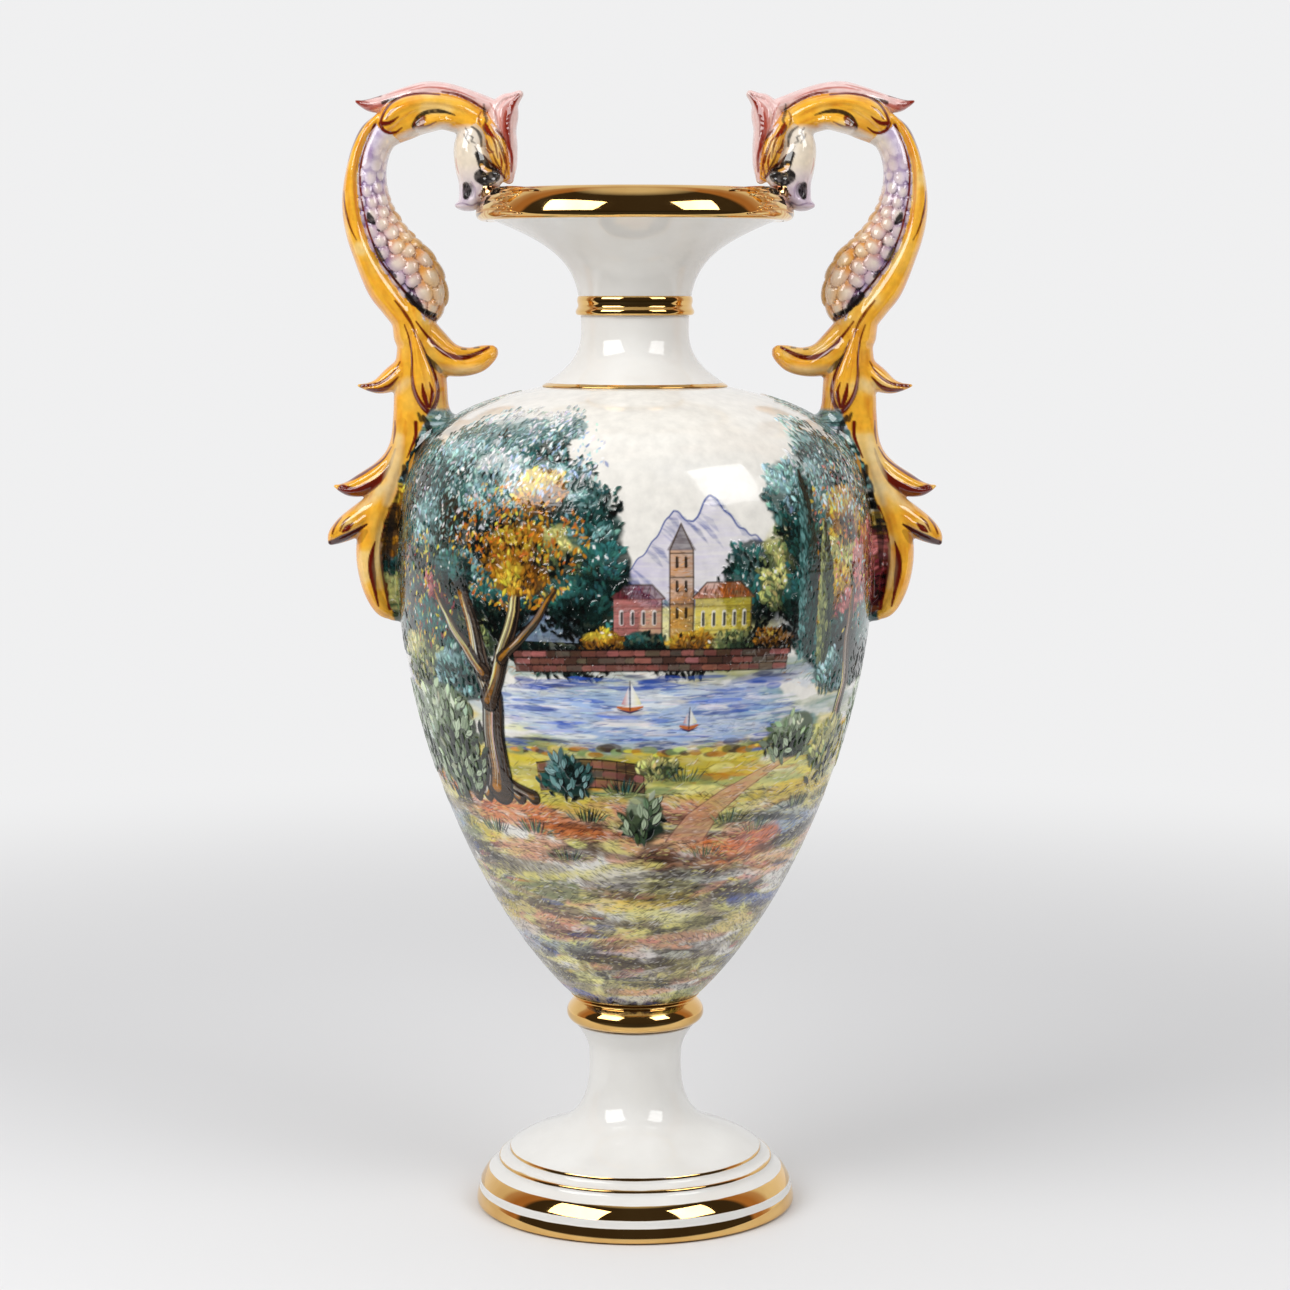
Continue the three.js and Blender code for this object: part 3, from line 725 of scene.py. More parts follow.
def bush(x, z, wide, high, tones, leaf=6.0):
    """Large leaves with dark edges and a pale rib, as in a near shrub."""
    dark, mid, pale = (np.asarray(tone) for tone in tones)
    canvas.patch(x, z, wide, high, dark, 0.95, 0.4, 0.1, 0, 0.4)
    crown(x, z, wide, high, tones, leaf, 0.75, 0.4)
    count = int(wide * high / leaf**2 * 0.7)
    px, pz, a, r = within_oval(x, z, wide, high, count)
    angle = math.pi / 2 - r * np.cos(a) * 1.1 + rng.normal(0, 0.45, count)
    size = leaf * rng.uniform(0.8, 1.25, count)
    tone = np.clip(mid + (pale - mid) * rng.uniform(0, 1, (count, 1)), 0, 1)
    for k in range(count):
        at = (px[k:k + 1], pz[k:k + 1])
        canvas.dabs(LEAVES, at[0] + 0.3, at[1] - 0.3, size[k] * 1.2, angle[k], BLACK, 0.85, 0.2)
        canvas.dabs(LEAVES, *at, size[k], angle[k], tone[k], 0.95, 0.55)
        canvas.dabs(NEEDLES, *at, size[k] * 0.8, angle[k], dark, 0.8)


def cypress(x, base, height, width, tones):
    """A slim, upright tree of steep strokes, lit from its left."""
    dark, mid, pale = (np.asarray(tone) for tone in tones)
    canvas.patch(x, base + height / 2, width * 0.9, height, dark, 0.9, 0.2, 0.2)
    count = int(height * width * 0.75)
    t = rng.uniform(0, 1, count)
    half = width / 2 * np.sin(math.pi * np.clip(t * 0.78 + 0.2, 0, 1)) ** 0.8
    off = rng.uniform(-1, 1, count)
    lit = np.clip(0.45 - 0.5 * off + rng.normal(0, 0.25, count), 0, 1)[:, None]
    colour = dark * (1 - lit) + mid * lit + pale * np.clip(lit - 0.65, 0, 1)
    colour = np.clip(colour * rng.normal(1, 0.14, (count, 1)), 0, 1)
    angle = math.pi / 2 - off * 0.35 + rng.normal(0, 0.2, count)
    px, pz = x + off * half, base + t * height
    canvas.dabs(LEAVES, px, pz, rng.uniform(2.5, 5, count), angle, colour, 0.9, 0.4)
    few = count // 3
    canvas.dabs(NEEDLES, px[:few], pz[:few], 3.5, angle[:few], BLACK, 0.7)


def hatching(
    x, z, wide, high, colours, count, length=(2, 7), lean=0.0, alpha=(0.3, 0.75), spread=0.25, kind=NEEDLES,
):
    """Fine brush lines over an oval place."""
    px, pz, _, _ = within_oval(x, z, wide, high, count)
    colour = np.array([jitter(one_of(colours)) for _ in range(count)])
    size = rng.uniform(*length, count)
    angle = lean + rng.normal(0, spread, count)
    canvas.dabs(kind, px, pz, size, angle, colour, rng.uniform(*alpha, count))


def scattered(x, z, wide, high, colours, count):
    """Single leaves of other colours among a crown's own."""
    hatching(x, z, wide, high, colours, count, (1.8, 3.6), 1.4, (0.6, 0.95), 0.8, LEAVES)


BARK = OCHRE * 0.85
TRUNK_STEPS = 24


def trunk(points, width, rooted=False):
    """A trunk or branch from its foot up: dark edges, an ochre body and lines of bark."""
    line = np.array(points, float)
    if rooted:
        x, z = line[0]
        for reach in (-1.5, -0.8, 0.9, 1.6):
            tip = (x + reach * width, z - 3 - rng.uniform(0, 3))
            trunk([tip, (x + reach * width * 0.4, z + 2), (x + reach * 1.5, z + 12)], width * 0.42)
    t = np.linspace(0, 1, TRUNK_STEPS)
    xs, zs = (np.interp(t, np.linspace(0, 1, len(line)), line[:, k]) for k in range(2))
    xs = xs + 0.06 * width * np.sin(t * 17 + line[0, 0])
    sizes = np.interp(t, [0, 0.12, 0.5, 1], [1.25, 1.0, 0.85, 0.42]) * width
    canvas.stroke(xs, zs, sizes * 1.12, BLACK, 0.95, 0.3)
    canvas.stroke(xs, zs, sizes * 0.92, SEPIA, 0.95, 0.4, 0.5)
    canvas.stroke(xs - 0.16 * width, zs, sizes * 0.36, BARK, 0.9, 0.5, 0.6)
    pale = [LEMON, BARK, CREAM * 0.8, GREY * 1.2, BARK, GREY]
    shade = [SEPIA * 0.6, BLACK, GREY * 0.7, BLACK, SEPIA]
    for k in range(int(width * 7)):
        off = rng.uniform(-0.46, 0.44)
        a, b = np.sort(rng.integers(0, TRUNK_STEPS, 2))
        if b - a > 3:
            thick = rng.uniform(0.5, 1.3)
            colour = jitter(one_of(pale if off < rng.uniform(-0.2, 0.15) else shade), 0.12)
            canvas.stroke(xs[a:b] + off * sizes[a:b], zs[a:b], [0.3, thick, 0.3], colour, 0.85, 0.5)


def ridge(points, base, colour, outline, hatch=18):
    """A far hill: a pale wash under a firm outline, hatched on its shaded side."""
    xs = np.array([p[0] for p in points], float)
    zs = np.array([p[1] for p in points], float)
    fine_x = np.linspace(xs[0], xs[-1], 90)
    fine_z = np.interp(fine_x, xs, zs) + 0.8 * np.sin(fine_x * 0.9)
    canvas.shape(np.r_[fine_x, xs[-1], xs[0]], np.r_[fine_z, base, base], colour, 0.8, WHITE * 0.98, 0.5)
    canvas.stroke(fine_x, fine_z, [0.5, 1.1, 0.5], outline, 0.85)
    for _ in range(hatch):
        x = rng.uniform(xs[0], xs[-1])
        top = np.interp(x, xs, zs)
        drop = rng.uniform(5, 18)
        line = ([x, x + drop * 0.5, x + drop * 0.9], [top - 1, top - drop * 0.5, top - drop])
        canvas.stroke(*line, [0.5, rng.uniform(1, 4), 0.3], jitter(outline), rng.uniform(0.2, 0.5), 0, 0.6)


def cottage(x, z, wide, high, wall, roof, windows):
    """A low house with a hipped roof and a row of windows."""
    middle, top = x + wide / 2, z + high
    canvas.shape([x, x + wide, x + wide, x], [z, z, top, top], wall, 0.95, wall * 0.7)
    eaves = (
        [x - 2, x + wide * 0.2, x + wide * 0.8, x + wide + 2], [top, z + high * 1.4, z + high * 1.4, top],
    )
    canvas.shape(*eaves, roof, 0.95, roof * 0.6)
    tiles = [roof * 0.4, BLACK, roof * 1.3]
    at = (middle, z + high * 1.18)
    hatching(*at, wide * 0.9, high * 0.3, tiles, int(wide * 2), (2, 5), 1.4, (0.4, 0.8), 0.15)
    plaster = [wall * 0.5, wall * 1.25, SEPIA]
    hatching(middle, z + high / 2, wide, high, plaster, int(wide * high / 7), (1.5, 4), 0.05)
    for k in range(windows):
        wx = x + wide * (k + 0.7) / (windows + 0.4)
        canvas.stroke([wx, wx], [z + high * 0.34, z + high * 0.66], [2.2, 2.0], WHITE, 0.7)
        canvas.stroke([wx + 0.2, wx + 0.2], [z + high * 0.34, z + high * 0.62], [1.4, 1.4], BLACK, 0.9)
    for level in (0.2, 0.8, 1.0):
        line = jitter(wall * 0.3)
        canvas.stroke([x - 1, x + wide + 1], [z + high * level] * 2, [0.5, 0.8, 0.5], line, 0.85, 0.3)
    canvas.stroke(*eaves, [0.8, 0.9], SEPIA, 0.8)
    canvas.stroke([x + wide, x + wide], [z, top], [1.0, 0.8], SEPIA, 0.7)


def tower(x, z, wide, high, wall, roof):
    """A tall house with a pointed roof and three rows of windows."""
    middle, top, point = x + wide / 2, z + high, z + high + wide * 1.1
    canvas.shape([x, x + wide, x + wide, x], [z, z, top, top], wall, 0.95, wall * 0.6)
    canvas.shape([x - 1.5, middle, x + wide + 1.5], [top, point, top], roof, 0.95, roof * 0.5)
    plaster = [wall * 0.5, wall * 1.2, SEPIA]
    hatching(middle, z + high / 2, wide, high, plaster, int(wide * high / 6), (1.5, 4), 0.05)
    for level in (0.25, 0.55, 0.82):
        for k in (0.3, 0.68):
            wx = x + wide * k
            canvas.stroke([wx, wx], [z + high * level, z + high * (level + 0.1)], [1.7, 1.4], BLACK, 0.9)
        canvas.stroke([x, x + wide], [z + high * (level + 0.15)] * 2, [0.7, 0.7], jitter(SEPIA), 0.85, 0.3)
    canvas.stroke([x, x, middle, x + wide, x + wide], [z, top, point, top, z], [0.8, 0.8], SEPIA, 0.85)


def water(x, z, wide, high):
    """A sheet of water: white and pale under blue streaks, darker near its banks."""
    canvas.patch(x, z, wide, high, PALE_BLUE * 1.05, 0.85, 0.35, 0.35)
    for _ in range(int(wide * high / 60)):
        share = rng.uniform(-0.48, 0.48)
        up = rng.uniform(-0.46, 0.46)
        blues = [BLUE, NAVY, BLUE] if abs(up) > 0.3 else [BLUE, PALE_BLUE, WHITE, WHITE, BLUE * 1.3]
        colour = jitter(one_of(blues), 0.12)
        long, tall = rng.uniform(10, 40), rng.uniform(1.2, 4)
        at = (x + share * wide * (1 - up * up), z + up * high)
        canvas.patch(*at, long, tall, colour, 0.75, 0.5, 0.5, rng.normal(0, 0.03))
    ripples = [NAVY, BLUE, WHITE, WHITE]
    hatching(x, z, wide * 0.9, high * 0.9, ripples, int(wide * high / 14), (3, 9), 0.0, (0.35, 0.8), 0.08)


def stones(x, z, wide, high, courses, arch=0.0):
    """A dry-stone wall: courses of pinkish-brown stones with dark joints."""
    xs = np.linspace(x, x + wide, 12)
    foot = z + arch * np.sin((xs - x) / wide * math.pi)
    canvas.shape(np.r_[xs, xs[::-1]], np.r_[foot, (foot + high)[::-1]], BRICK * 0.9, 0.97, BRICK * 0.6, 0.2)
    step = high / courses
    for row in range(courses):
        px = x + rng.uniform(0, 3)
        while px < x + wide - 3:
            end = min(px + rng.uniform(4, 8), x + wide)
            zz = np.interp([px, end], xs, foot) + row * step
            colour = jitter(one_of([BRICK, BRICK * 1.5, PINK * 0.7, GREY * 0.8, SEPIA]), 0.15)
            canvas.stroke([px + 0.6, end - 0.4], zz + step / 2, [step * 0.72] * 2, colour, 0.85, 0.35, 0.4)
            canvas.stroke([end + 0.3, end + 0.2], [zz[1] + 0.2, zz[1] + step], [0.6, 0.5], BLACK, 0.85)
            px = end + 0.6
        canvas.stroke(xs, foot + row * step, [0.5, 0.8, 0.4], BLACK, 0.85)
    canvas.stroke(xs, foot + high, [0.8, 1.0, 0.6], BLACK, 0.9)


def boat(x, z, size):
    """A sailing boat with two sails."""
    canvas.stroke([x - size, x, x + size], [z + 1.5, z, z + 1.8], [1.2, 3, 1], ORANGE, 0.95, 0.3)
    canvas.stroke([x - size, x, x + size], [z + 0.2, z - 1.2, z + 0.4], [0.4, 1.2, 0.4], NAVY, 0.9)
    mainsail = [x + 0.5, x + 0.5, x + size * 0.95]
    foresail = [x - 0.8, x - 0.8, x - size * 0.7]
    canvas.shape(mainsail, [z + 2, z + size * 2.1, z + 3], WHITE, 0.95, LEMON, 0.1)
    canvas.shape(foresail, [z + 2, z + size * 1.8, z + 3], PINK, 0.9, WHITE, 0.1)
    canvas.stroke([x, x], [z, z + size * 2.3], [0.7, 0.5], SEPIA, 0.95)


def tuft(x, z, wide, high, colours, count):
    """Grass blades that fan out from one place."""
    off = rng.normal(0, 0.33, count)
    angle = math.pi / 2 - off * 1.5 + rng.normal(0, 0.15, count)
    colour = np.array([jitter(one_of(colours)) for _ in range(count)])
    length = high * rng.uniform(0.5, 1.1, count)
    kind = one_of([NEEDLES, LINES])
    px, pz = x + off * wide + np.cos(angle) * length / 2, z + np.sin(angle) * length / 2
    canvas.dabs(kind, px, pz, length, angle, colour, 0.9, 0.25)


GREENS = (DEEP, TEAL, AQUA)
NIGHT = (DEEP * 0.55, DEEP * 1.5, TEAL * 1.3)
AUTUMN = (SEPIA * 0.8, OCHRE * 0.9, YELLOW)
OLIVES = (DEEP, SAGE * 0.75, LEMON * 0.9)
ROSES = (ROSE * 0.5, ROSE * 1.1, PINK * 1.15)
FROST = (TEAL, AQUA * 0.85, WHITE)
GRASSES = (DEEP, TEAL, BLACK, SAGE)
BANKS = (YELLOW, SAGE, OCHRE, SEPIA)
SHRUB = (DEEP * 0.8, SAGE * 0.55 + TEAL * 0.25, AQUA * 0.55 + LEMON * 0.4)


def anywhere_round(count=None):
    return rng.uniform(-GIRTH / 2, GIRTH / 2, count)


def wash(x, z, wide, tall, colour, strength, ragged, dry, tilt=None, soft=0.5, grow=1.0):
    """A patch whose width, height, strength and tilt are drawn at random from their ranges."""
    size = (rng.uniform(*wide) * grow, rng.uniform(*tall))
    alpha = rng.uniform(*strength)
    lean = 0.0 if tilt is None else rng.normal(0, tilt) / grow
    canvas.patch(x, z, *size, colour, alpha, ragged, dry, lean, soft)


def ink_lines(x, z, length, angle, colours, strength, raised):
    """Fine ink lines at many places."""
    count = len(x)
    inks = np.array(colours)[rng.integers(0, len(colours), count)]
    lengths = rng.uniform(*length, count)
    angles = angle[0] + rng.normal(0, angle[1], count)
    canvas.dabs(NEEDLES, x, z, lengths, angles, inks, rng.uniform(*strength, count), raised)


def paint_sky():
    for _ in range(30):
        colour = one_of([SALMON * 1.1, PALE_BLUE, LEMON, SALMON * 1.1])
        x, z = anywhere_round(), rng.uniform(380, 438)
        wash(x, z, (40, 110), (8, 22), colour, (0.01, 0.05), 0.8, 0.3, soft=1.2)


def paint_meadow():
    for _ in range(150):
        colour = jitter(one_of([LEMON * 0.9, YELLOW * 0.85, SAGE, LEMON]), 0.08)
        x, z = anywhere_round(), rng.uniform(224, 264)
        canvas.patch(x, z, rng.uniform(40, 90), rng.uniform(10, 20), colour, 0.85, 0.3, 0.3)
    for _ in range(420):
        z = rng.uniform(222, 268)
        colour = jitter(one_of([YELLOW, LEMON, YELLOW, SAGE, OCHRE, LEMON, SAGE * 0.7]), 0.1)
        wash(anywhere_round(), z, (18, 60), (4, 10), colour, (0.5, 0.9), 0.8, 0.5, 0.06)
    count = 3600
    z = rng.uniform(222, 266, count)
    inks = [SAGE * 0.5, DEEP, OCHRE * 0.7, ORANGE, SEPIA, WHITE]
    ink_lines(anywhere_round(count), z, (2, 7), (0.2, 0.35), inks, (0.3, 0.8), 0.12)


def paint_far_shore():
    """Pale hills and hedges that close the view behind everything else, all round."""
    for _ in range(260):
        colour = jitter(one_of([SAGE, LEMON, TEAL * 1.6, LILAC, SAGE * 0.7, YELLOW, PALE_BLUE]), 0.1)
        x, z = anywhere_round(), rng.uniform(262, 334)
        wash(x, z, (30, 80), (5, 14), colour, (0.35, 0.8), 0.9, 0.5, 0.08)
    hatch = [DEEP, SAGE * 0.5, TEAL, OCHRE, SEPIA]
    for x in np.arange(-GIRTH / 2, GIRTH / 2, 36):
        hatching(x, rng.uniform(270, 320), 60, 40, hatch, 170, (2, 6), 0.1, (0.3, 0.8), 0.5)
        z, wide, high = 322 + rng.normal(0, 5), rng.uniform(44, 70), rng.uniform(26, 44)
        crown(x, z, wide, high, one_of([NIGHT, GREENS, NIGHT, OLIVES]))


def paint_low_ground():
    """Pools of clear colour on a pale ground, parted by dark drifts; fine ink lines follow them."""
    def anywhere():
        z = rng.uniform(110, 232)
        return anywhere_round(), z, BELLY_R / float(body_radius(z))

    for _ in range(420):
        x, z, grow = anywhere()
        colour = jitter(one_of([LEMON, LEMON * 0.9, CREAM * 0.9, GREY * 1.7, SALMON]), 0.06)
        canvas.patch(x, z, rng.uniform(30, 70) * grow, rng.uniform(8, 18), colour, 0.85, 0.4, 0.2)
    pools = [
        YELLOW, LEMON, BLUE * 1.2, PINK, YELLOW * 0.95, SALMON, GREY * 0.8, SEPIA * 0.9, PALE_BLUE * 0.7,
        ORANGE * 1.1, GREY, SAGE * 0.9,
    ]
    for z in np.arange(231, 108, -8.5):
        grow = BELLY_R / float(body_radius(z))
        x = -GIRTH / 2 + rng.uniform(0, 30)
        while x < GIRTH / 2:
            wide = rng.uniform(40, 105) * grow
            at = (x + wide / 2, z + rng.normal(0, 4))
            size = (wide * 1.05, rng.uniform(9, 24))
            colour, alpha = jitter(one_of(pools), 0.08), rng.uniform(0.75, 0.95)
            canvas.patch(*at, *size, colour, alpha, 1.1, 0.35, rng.normal(0, 0.14) / grow, 0.7)
            x += wide * rng.uniform(0.7, 1.1)
    for _ in range(120):
        x, z, grow = anywhere()
        colour = one_of([SEPIA * 0.4, BLACK * 1.8, SEPIA * 0.5, GREY * 0.4, BLACK * 2])
        wash(x, z, (34, 90), (3.5, 11), colour, (0.6, 0.9), 1.0, 0.6, 0.12, 0.7, grow)
    clear = [YELLOW, SALMON * 1.1, BLUE, LEMON, PINK * 1.1, CREAM, ORANGE * 1.2, BLUE * 0.8, CREAM]
    for _ in range(230):
        x, z, grow = anywhere()
        wash(x, z, (8, 28), (2, 7), jitter(one_of(clear), 0.1), (0.4, 0.85), 1.2, 0.8, 0.2, 0.7, grow)
    count = 30000
    z = rng.uniform(110, 240, count)
    x = anywhere_round(count)
    slope = 1.8 * (canvas.tone(BLOTCH, x, z) - 0.5)
    inks = [BLACK, SEPIA * 0.4, BLACK, SEPIA * 0.6, LEMON, NAVY * 0.5, CREAM, BLACK]
    ink_lines(x, z, (2, 6.5), (slope, 0.18), inks, (0.35, 0.95), 0.15)


def shore(x0, x1, z, colours):
    """The bank's broken edge between land and water."""
    for x in np.arange(x0, x1, 3.0):
        up, wide, high = rng.normal(0, 1), rng.uniform(6, 14), rng.uniform(2, 5)
        canvas.patch(x, z + up, wide, high, jitter(one_of(colours)), 0.85, 0.7, 0.3)


def path(points, widths, colour, outline):
    """A lane that runs away from the viewer."""
    line = np.array(points, float)
    half = np.interp(np.linspace(0, 1, len(line)), np.linspace(0, 1, len(widths)), widths) / 2
    left, right = line[:, 0] - half, line[:, 0] + half
    outline_x, outline_z = np.r_[left, right[::-1]], np.r_[line[:, 1], line[::-1, 1]]
    canvas.shape(outline_x, outline_z, colour, 0.95, colour * 0.85, 0.4)
    for side in (left, right):
        canvas.stroke(side, line[:, 1], [1.2, 0.7, 0.4], outline, 0.8, 0.2, 0.5)
    for (x, z), reach in zip(line, half):
        hatching(x, z, reach * 1.7, 9, [outline, SEPIA, WHITE, ORANGE], int(reach * 2) + 4, (1.5, 5), 0.2)


def grove(parts):
    for x, z, wide, high, tones in parts:
        crown(x, z, wide, high, tones)


def paint_front():
    ridge([(-10, 346), (8, 366), (20, 384), (30, 377), (40, 392), (56, 374), (72, 366), (90, 350)], 318,
          LILAC * 1.1, BLUE * 0.7, 60)
    ridge([(-62, 336), (-44, 352), (-30, 346), (-14, 358), (4, 344), (20, 334)], 318, PALE_BLUE,
          NAVY * 1.4, 30)
    canvas.patch(24, 326, 130, 22, LEMON, 0.8, 0.6, 0.3)
    crown(64, 345, 44, 44, NIGHT)
    crown(-22, 334, 50, 34, NIGHT)
    crown(86, 352, 40, 56, OLIVES)
    cottage(-10, 322, 24, 18, PINK, ROSE * 0.8, 4)
    tower(18, 320, 12, 44, OCHRE * 1.1, SEPIA)
    cottage(31, 320, 30, 20, YELLOW * 0.95, ORANGE, 5)
    for x, wide in ((-16, 26), (6, 22), (30, 26), (54, 30), (76, 26)):
        crown(x, 318, wide, 13, [OLIVES, NIGHT, AUTUMN][int(wide) % 3], 2.4)
    stones(-64, 302, 150, 11, 3, 2.0)
    water(8, 281, 196, 44)
    shore(-70, 96, 262, (*BANKS, LEMON))
    boat(-2, 284, 6.5)
    boat(30, 274, 4.8)
    grove((
        (-150, 388, 60, 60, NIGHT), (-112, 404, 60, 46, GREENS), (-64, 404, 60, 46, NIGHT),
        (-134, 352, 64, 66, NIGHT), (-84, 372, 66, 62, NIGHT), (-40, 386, 50, 50, GREENS),
        (-88, 420, 62, 26, FROST), (-52, 424, 40, 18, FROST), (-120, 372, 46, 44, GREENS),
        (-58, 358, 48, 44, AUTUMN), (-98, 344, 48, 34, GREENS), (-78, 396, 42, 32, FROST),
        (-32, 362, 34, 34, OLIVES), (-128, 334, 44, 28, ROSES), (-50, 392, 30, 26, AUTUMN),
        (-150, 330, 50, 50, NIGHT), (-118, 318, 60, 36, NIGHT), (-70, 334, 44, 30, NIGHT),
        (-30, 340, 36, 26, NIGHT), (-140, 300, 56, 36, OLIVES), (-104, 298, 46, 26, GREENS),
        (-20, 380, 30, 36, GREENS), (-14, 356, 26, 26, NIGHT),
    ))
    scattered(-64, 366, 84, 66, [OCHRE, YELLOW, ORANGE, OCHRE * 0.7, OCHRE * 1.2], 520)
    scattered(-112, 396, 100, 60, [AQUA, WHITE, AQUA * 0.8, TEAL], 420)
    scattered(-130, 340, 60, 60, [OCHRE, SAGE, ROSE, YELLOW], 240)
    scattered(-44, 410, 60, 40, [AQUA, WHITE, PALE_BLUE], 200)
    trunk([(-88, 240), (-84, 262), (-82, 290), (-88, 316), (-96, 344)], 15.4, rooted=True)
    trunk([(-83, 286), (-72, 308), (-62, 334), (-60, 352)], 9.1)
    trunk([(-85, 300), (-104, 322), (-118, 340)], 7)
    trunk([(-72, 308), (-52, 326), (-40, 344)], 5.04)
    crown(-104, 350, 30, 22, NIGHT)
    crown(-60, 350, 30, 18, AUTUMN)
    grove((
        (128, 402, 62, 50, GREENS), (160, 380, 60, 70, NIGHT), (112, 368, 46, 60, NIGHT),
        (140, 352, 60, 60, OLIVES), (104, 396, 40, 34, FROST), (172, 344, 56, 60, ROSES),
        (118, 336, 40, 40, AUTUMN), (146, 322, 54, 40, ROSES), (92, 334, 26, 34, NIGHT),
        (134, 378, 36, 32, AUTUMN), (160, 310, 60, 44, NIGHT), (124, 312, 50, 30, NIGHT),
        (88, 388, 34, 40, GREENS), (96, 360, 30, 36, NIGHT), (128, 298, 40, 24, GREENS),
        (152, 350, 30, 30, ROSES),
    ))
    scattered(140, 362, 90, 90, [OCHRE, YELLOW, ROSE, PINK, AQUA], 460)
    scattered(150, 398, 90, 44, [AQUA, WHITE, AQUA * 0.8], 260)
    cypress(98, 308, 92, 13, GREENS)
    cypress(112, 304, 70, 12, OLIVES)
    trunk([(140, 262), (142, 290), (136, 316), (140, 340)], 9.8, rooted=True)
    path([(34, 214), (44, 228), (62, 240), (84, 250), (110, 258)], [26, 18, 7], SALMON, BRICK)
    stones(-58, 240, 64, 15, 3, 3.0)
    bush(-124, 262, 60, 62, SHRUB)
    bush(-40, 248, 34, 26, GREENS, 5)
    bush(98, 266, 40, 26, SHRUB, 5)
    bush(140, 256, 46, 36, OLIVES, 5)
    crown(14, 254, 26, 12, OLIVES, 2.6)
    bush(6, 226, 30, 28, SHRUB, 6)
    for x, z in ((-30, 224), (-70, 216), (64, 222), (86, 216), (-104, 214), (30, 246), (120, 226),
                 (-6, 240), (50, 204), (-48, 202)):
        tuft(x, z, 14, 9, GRASSES, 40)


def paint_shoulders():
    """Pale leaves that run up round the handles' roots."""
    for side in (-1, 1):
        x = side * GIRTH / 4
        crown(x, 416, 76, 40, GREENS)
        crown(x - side * 22, 424, 44, 24, FROST)
        crown(x + side * 20, 424, 44, 24, FROST)
        crown(x, 426, 40, 22, FROST)
        for lean in (0.7, 1.2, 1.9, 2.4):
            place, inks = x + math.cos(lean) * 26, [TEAL, AQUA, SAGE, DEEP, TEAL]
            hatching(place, 427, 46, 18, inks, 110, (3, 8), lean, (0.4, 0.85), 0.2)


def paint_back():
    ridge([(214, 336), (236, 356), (262, 376), (288, 354), (312, 382), (340, 360), (372, 336)], 310,
          LILAC, BLUE * 0.8, 46)
    ridge([(-384, 330), (-350, 360), (-318, 346), (-286, 368), (-250, 342), (-226, 326)], 310,
          LILAC * 1.1, NAVY, 46)
    water(290, 280, 150, 46)
    water(-320, 280, 130, 42)
    for x in (200, 236, 276, 316, 356, -384, -350, -310, -270, -230, -196):
        crown(x, 318 + rng.normal(0, 3), 44, 22, one_of([NIGHT, OLIVES, GREENS]), 2.8)
    cottage(256, 316, 34, 20, YELLOW, ORANGE, 4)
    cottage(-332, 318, 30, 19, PINK, SEPIA, 4)
    tower(-296, 314, 12, 44, OCHRE, ROSE)
    stones(-372, 300, 120, 10, 3, 2)
    stones(226, 302, 130, 10, 3, 2)
    boat(300, 280, 6)
    shore(210, 380, 258, BANKS)
    shore(-390, -250, 258, BANKS)
    grove((
        (206, 396, 70, 50, NIGHT), (236, 372, 56, 60, GREENS), (200, 352, 60, 60, AUTUMN),
        (350, 398, 74, 54, GREENS), (390, 372, 66, 66, NIGHT), (330, 366, 52, 46, AUTUMN),
        (372, 346, 52, 50, GREENS), (300, 408, 50, 34, FROST), (-204, 396, 70, 52, GREENS),
        (-176, 352, 56, 60, NIGHT), (-232, 366, 58, 56, NIGHT), (-216, 410, 56, 30, FROST),
        (-196, 372, 44, 40, AUTUMN), (-262, 398, 50, 40, OLIVES), (-356, 402, 66, 44, FROST),
        (-370, 374, 60, 56, NIGHT), (-340, 380, 44, 40, ROSES), (214, 328, 40, 34, ROSES),
        (-186, 326, 44, 34, OLIVES),
    ))
    trunk([(352, 244), (356, 270), (348, 300), (354, 344)], 14, rooted=True)
    trunk([(352, 300), (336, 326), (328, 350)], 7)
    trunk([(-212, 244), (-208, 268), (-214, 300), (-206, 336)], 14, rooted=True)
    trunk([(-210, 292), (-228, 320), (-238, 344)], 7)
    cypress(262, 310, 90, 13, GREENS)
    cypress(-262, 306, 92, 14, GREENS)
    path([(-300, 212), (-290, 228), (-272, 240), (-250, 252)], [26, 18, 7], SALMON, BRICK)
    stones(196, 240, 70, 15, 3, 3)
    for x, z, wide, high, tones in (
        (188, 268, 52, 50, SHRUB), (262, 250, 36, 24, GREENS), (330, 248, 40, 26, OLIVES),
        (-380, 252, 46, 34, SHRUB), (-170, 262, 54, 50, SHRUB), (-244, 250, 36, 26, OLIVES),
        (-330, 246, 36, 24, GREENS), (390, 262, 46, 40, SHRUB),
    ):
        bush(x, z, wide, high, tones)
    for x in range(-380, 380, 34):
        if abs(x) > 130:
            tuft(x + rng.normal(0, 6), rng.uniform(204, 236), 14, 9, GRASSES, 36)


def grid_faces(rows, columns):
    i, j = np.meshgrid(np.arange(rows - 1), np.arange(columns - 1), indexing="ij")
    corner = i * columns + j
    return np.stack([corner, corner + 1, corner + columns + 1, corner + columns], -1).reshape(-1, 4)


def map_points(obj, across, up):
    """A UV map from two shares per point."""
    mesh = obj.data
    loops = np.empty(len(mesh.loops), np.int32)
    mesh.loops.foreach_get("vertex_index", loops)
    layer = mesh.uv_layers.new(name="OFBake")
    layer.data.foreach_set("uv", np.stack([across, up], -1).astype(np.float32)[loops].ravel())


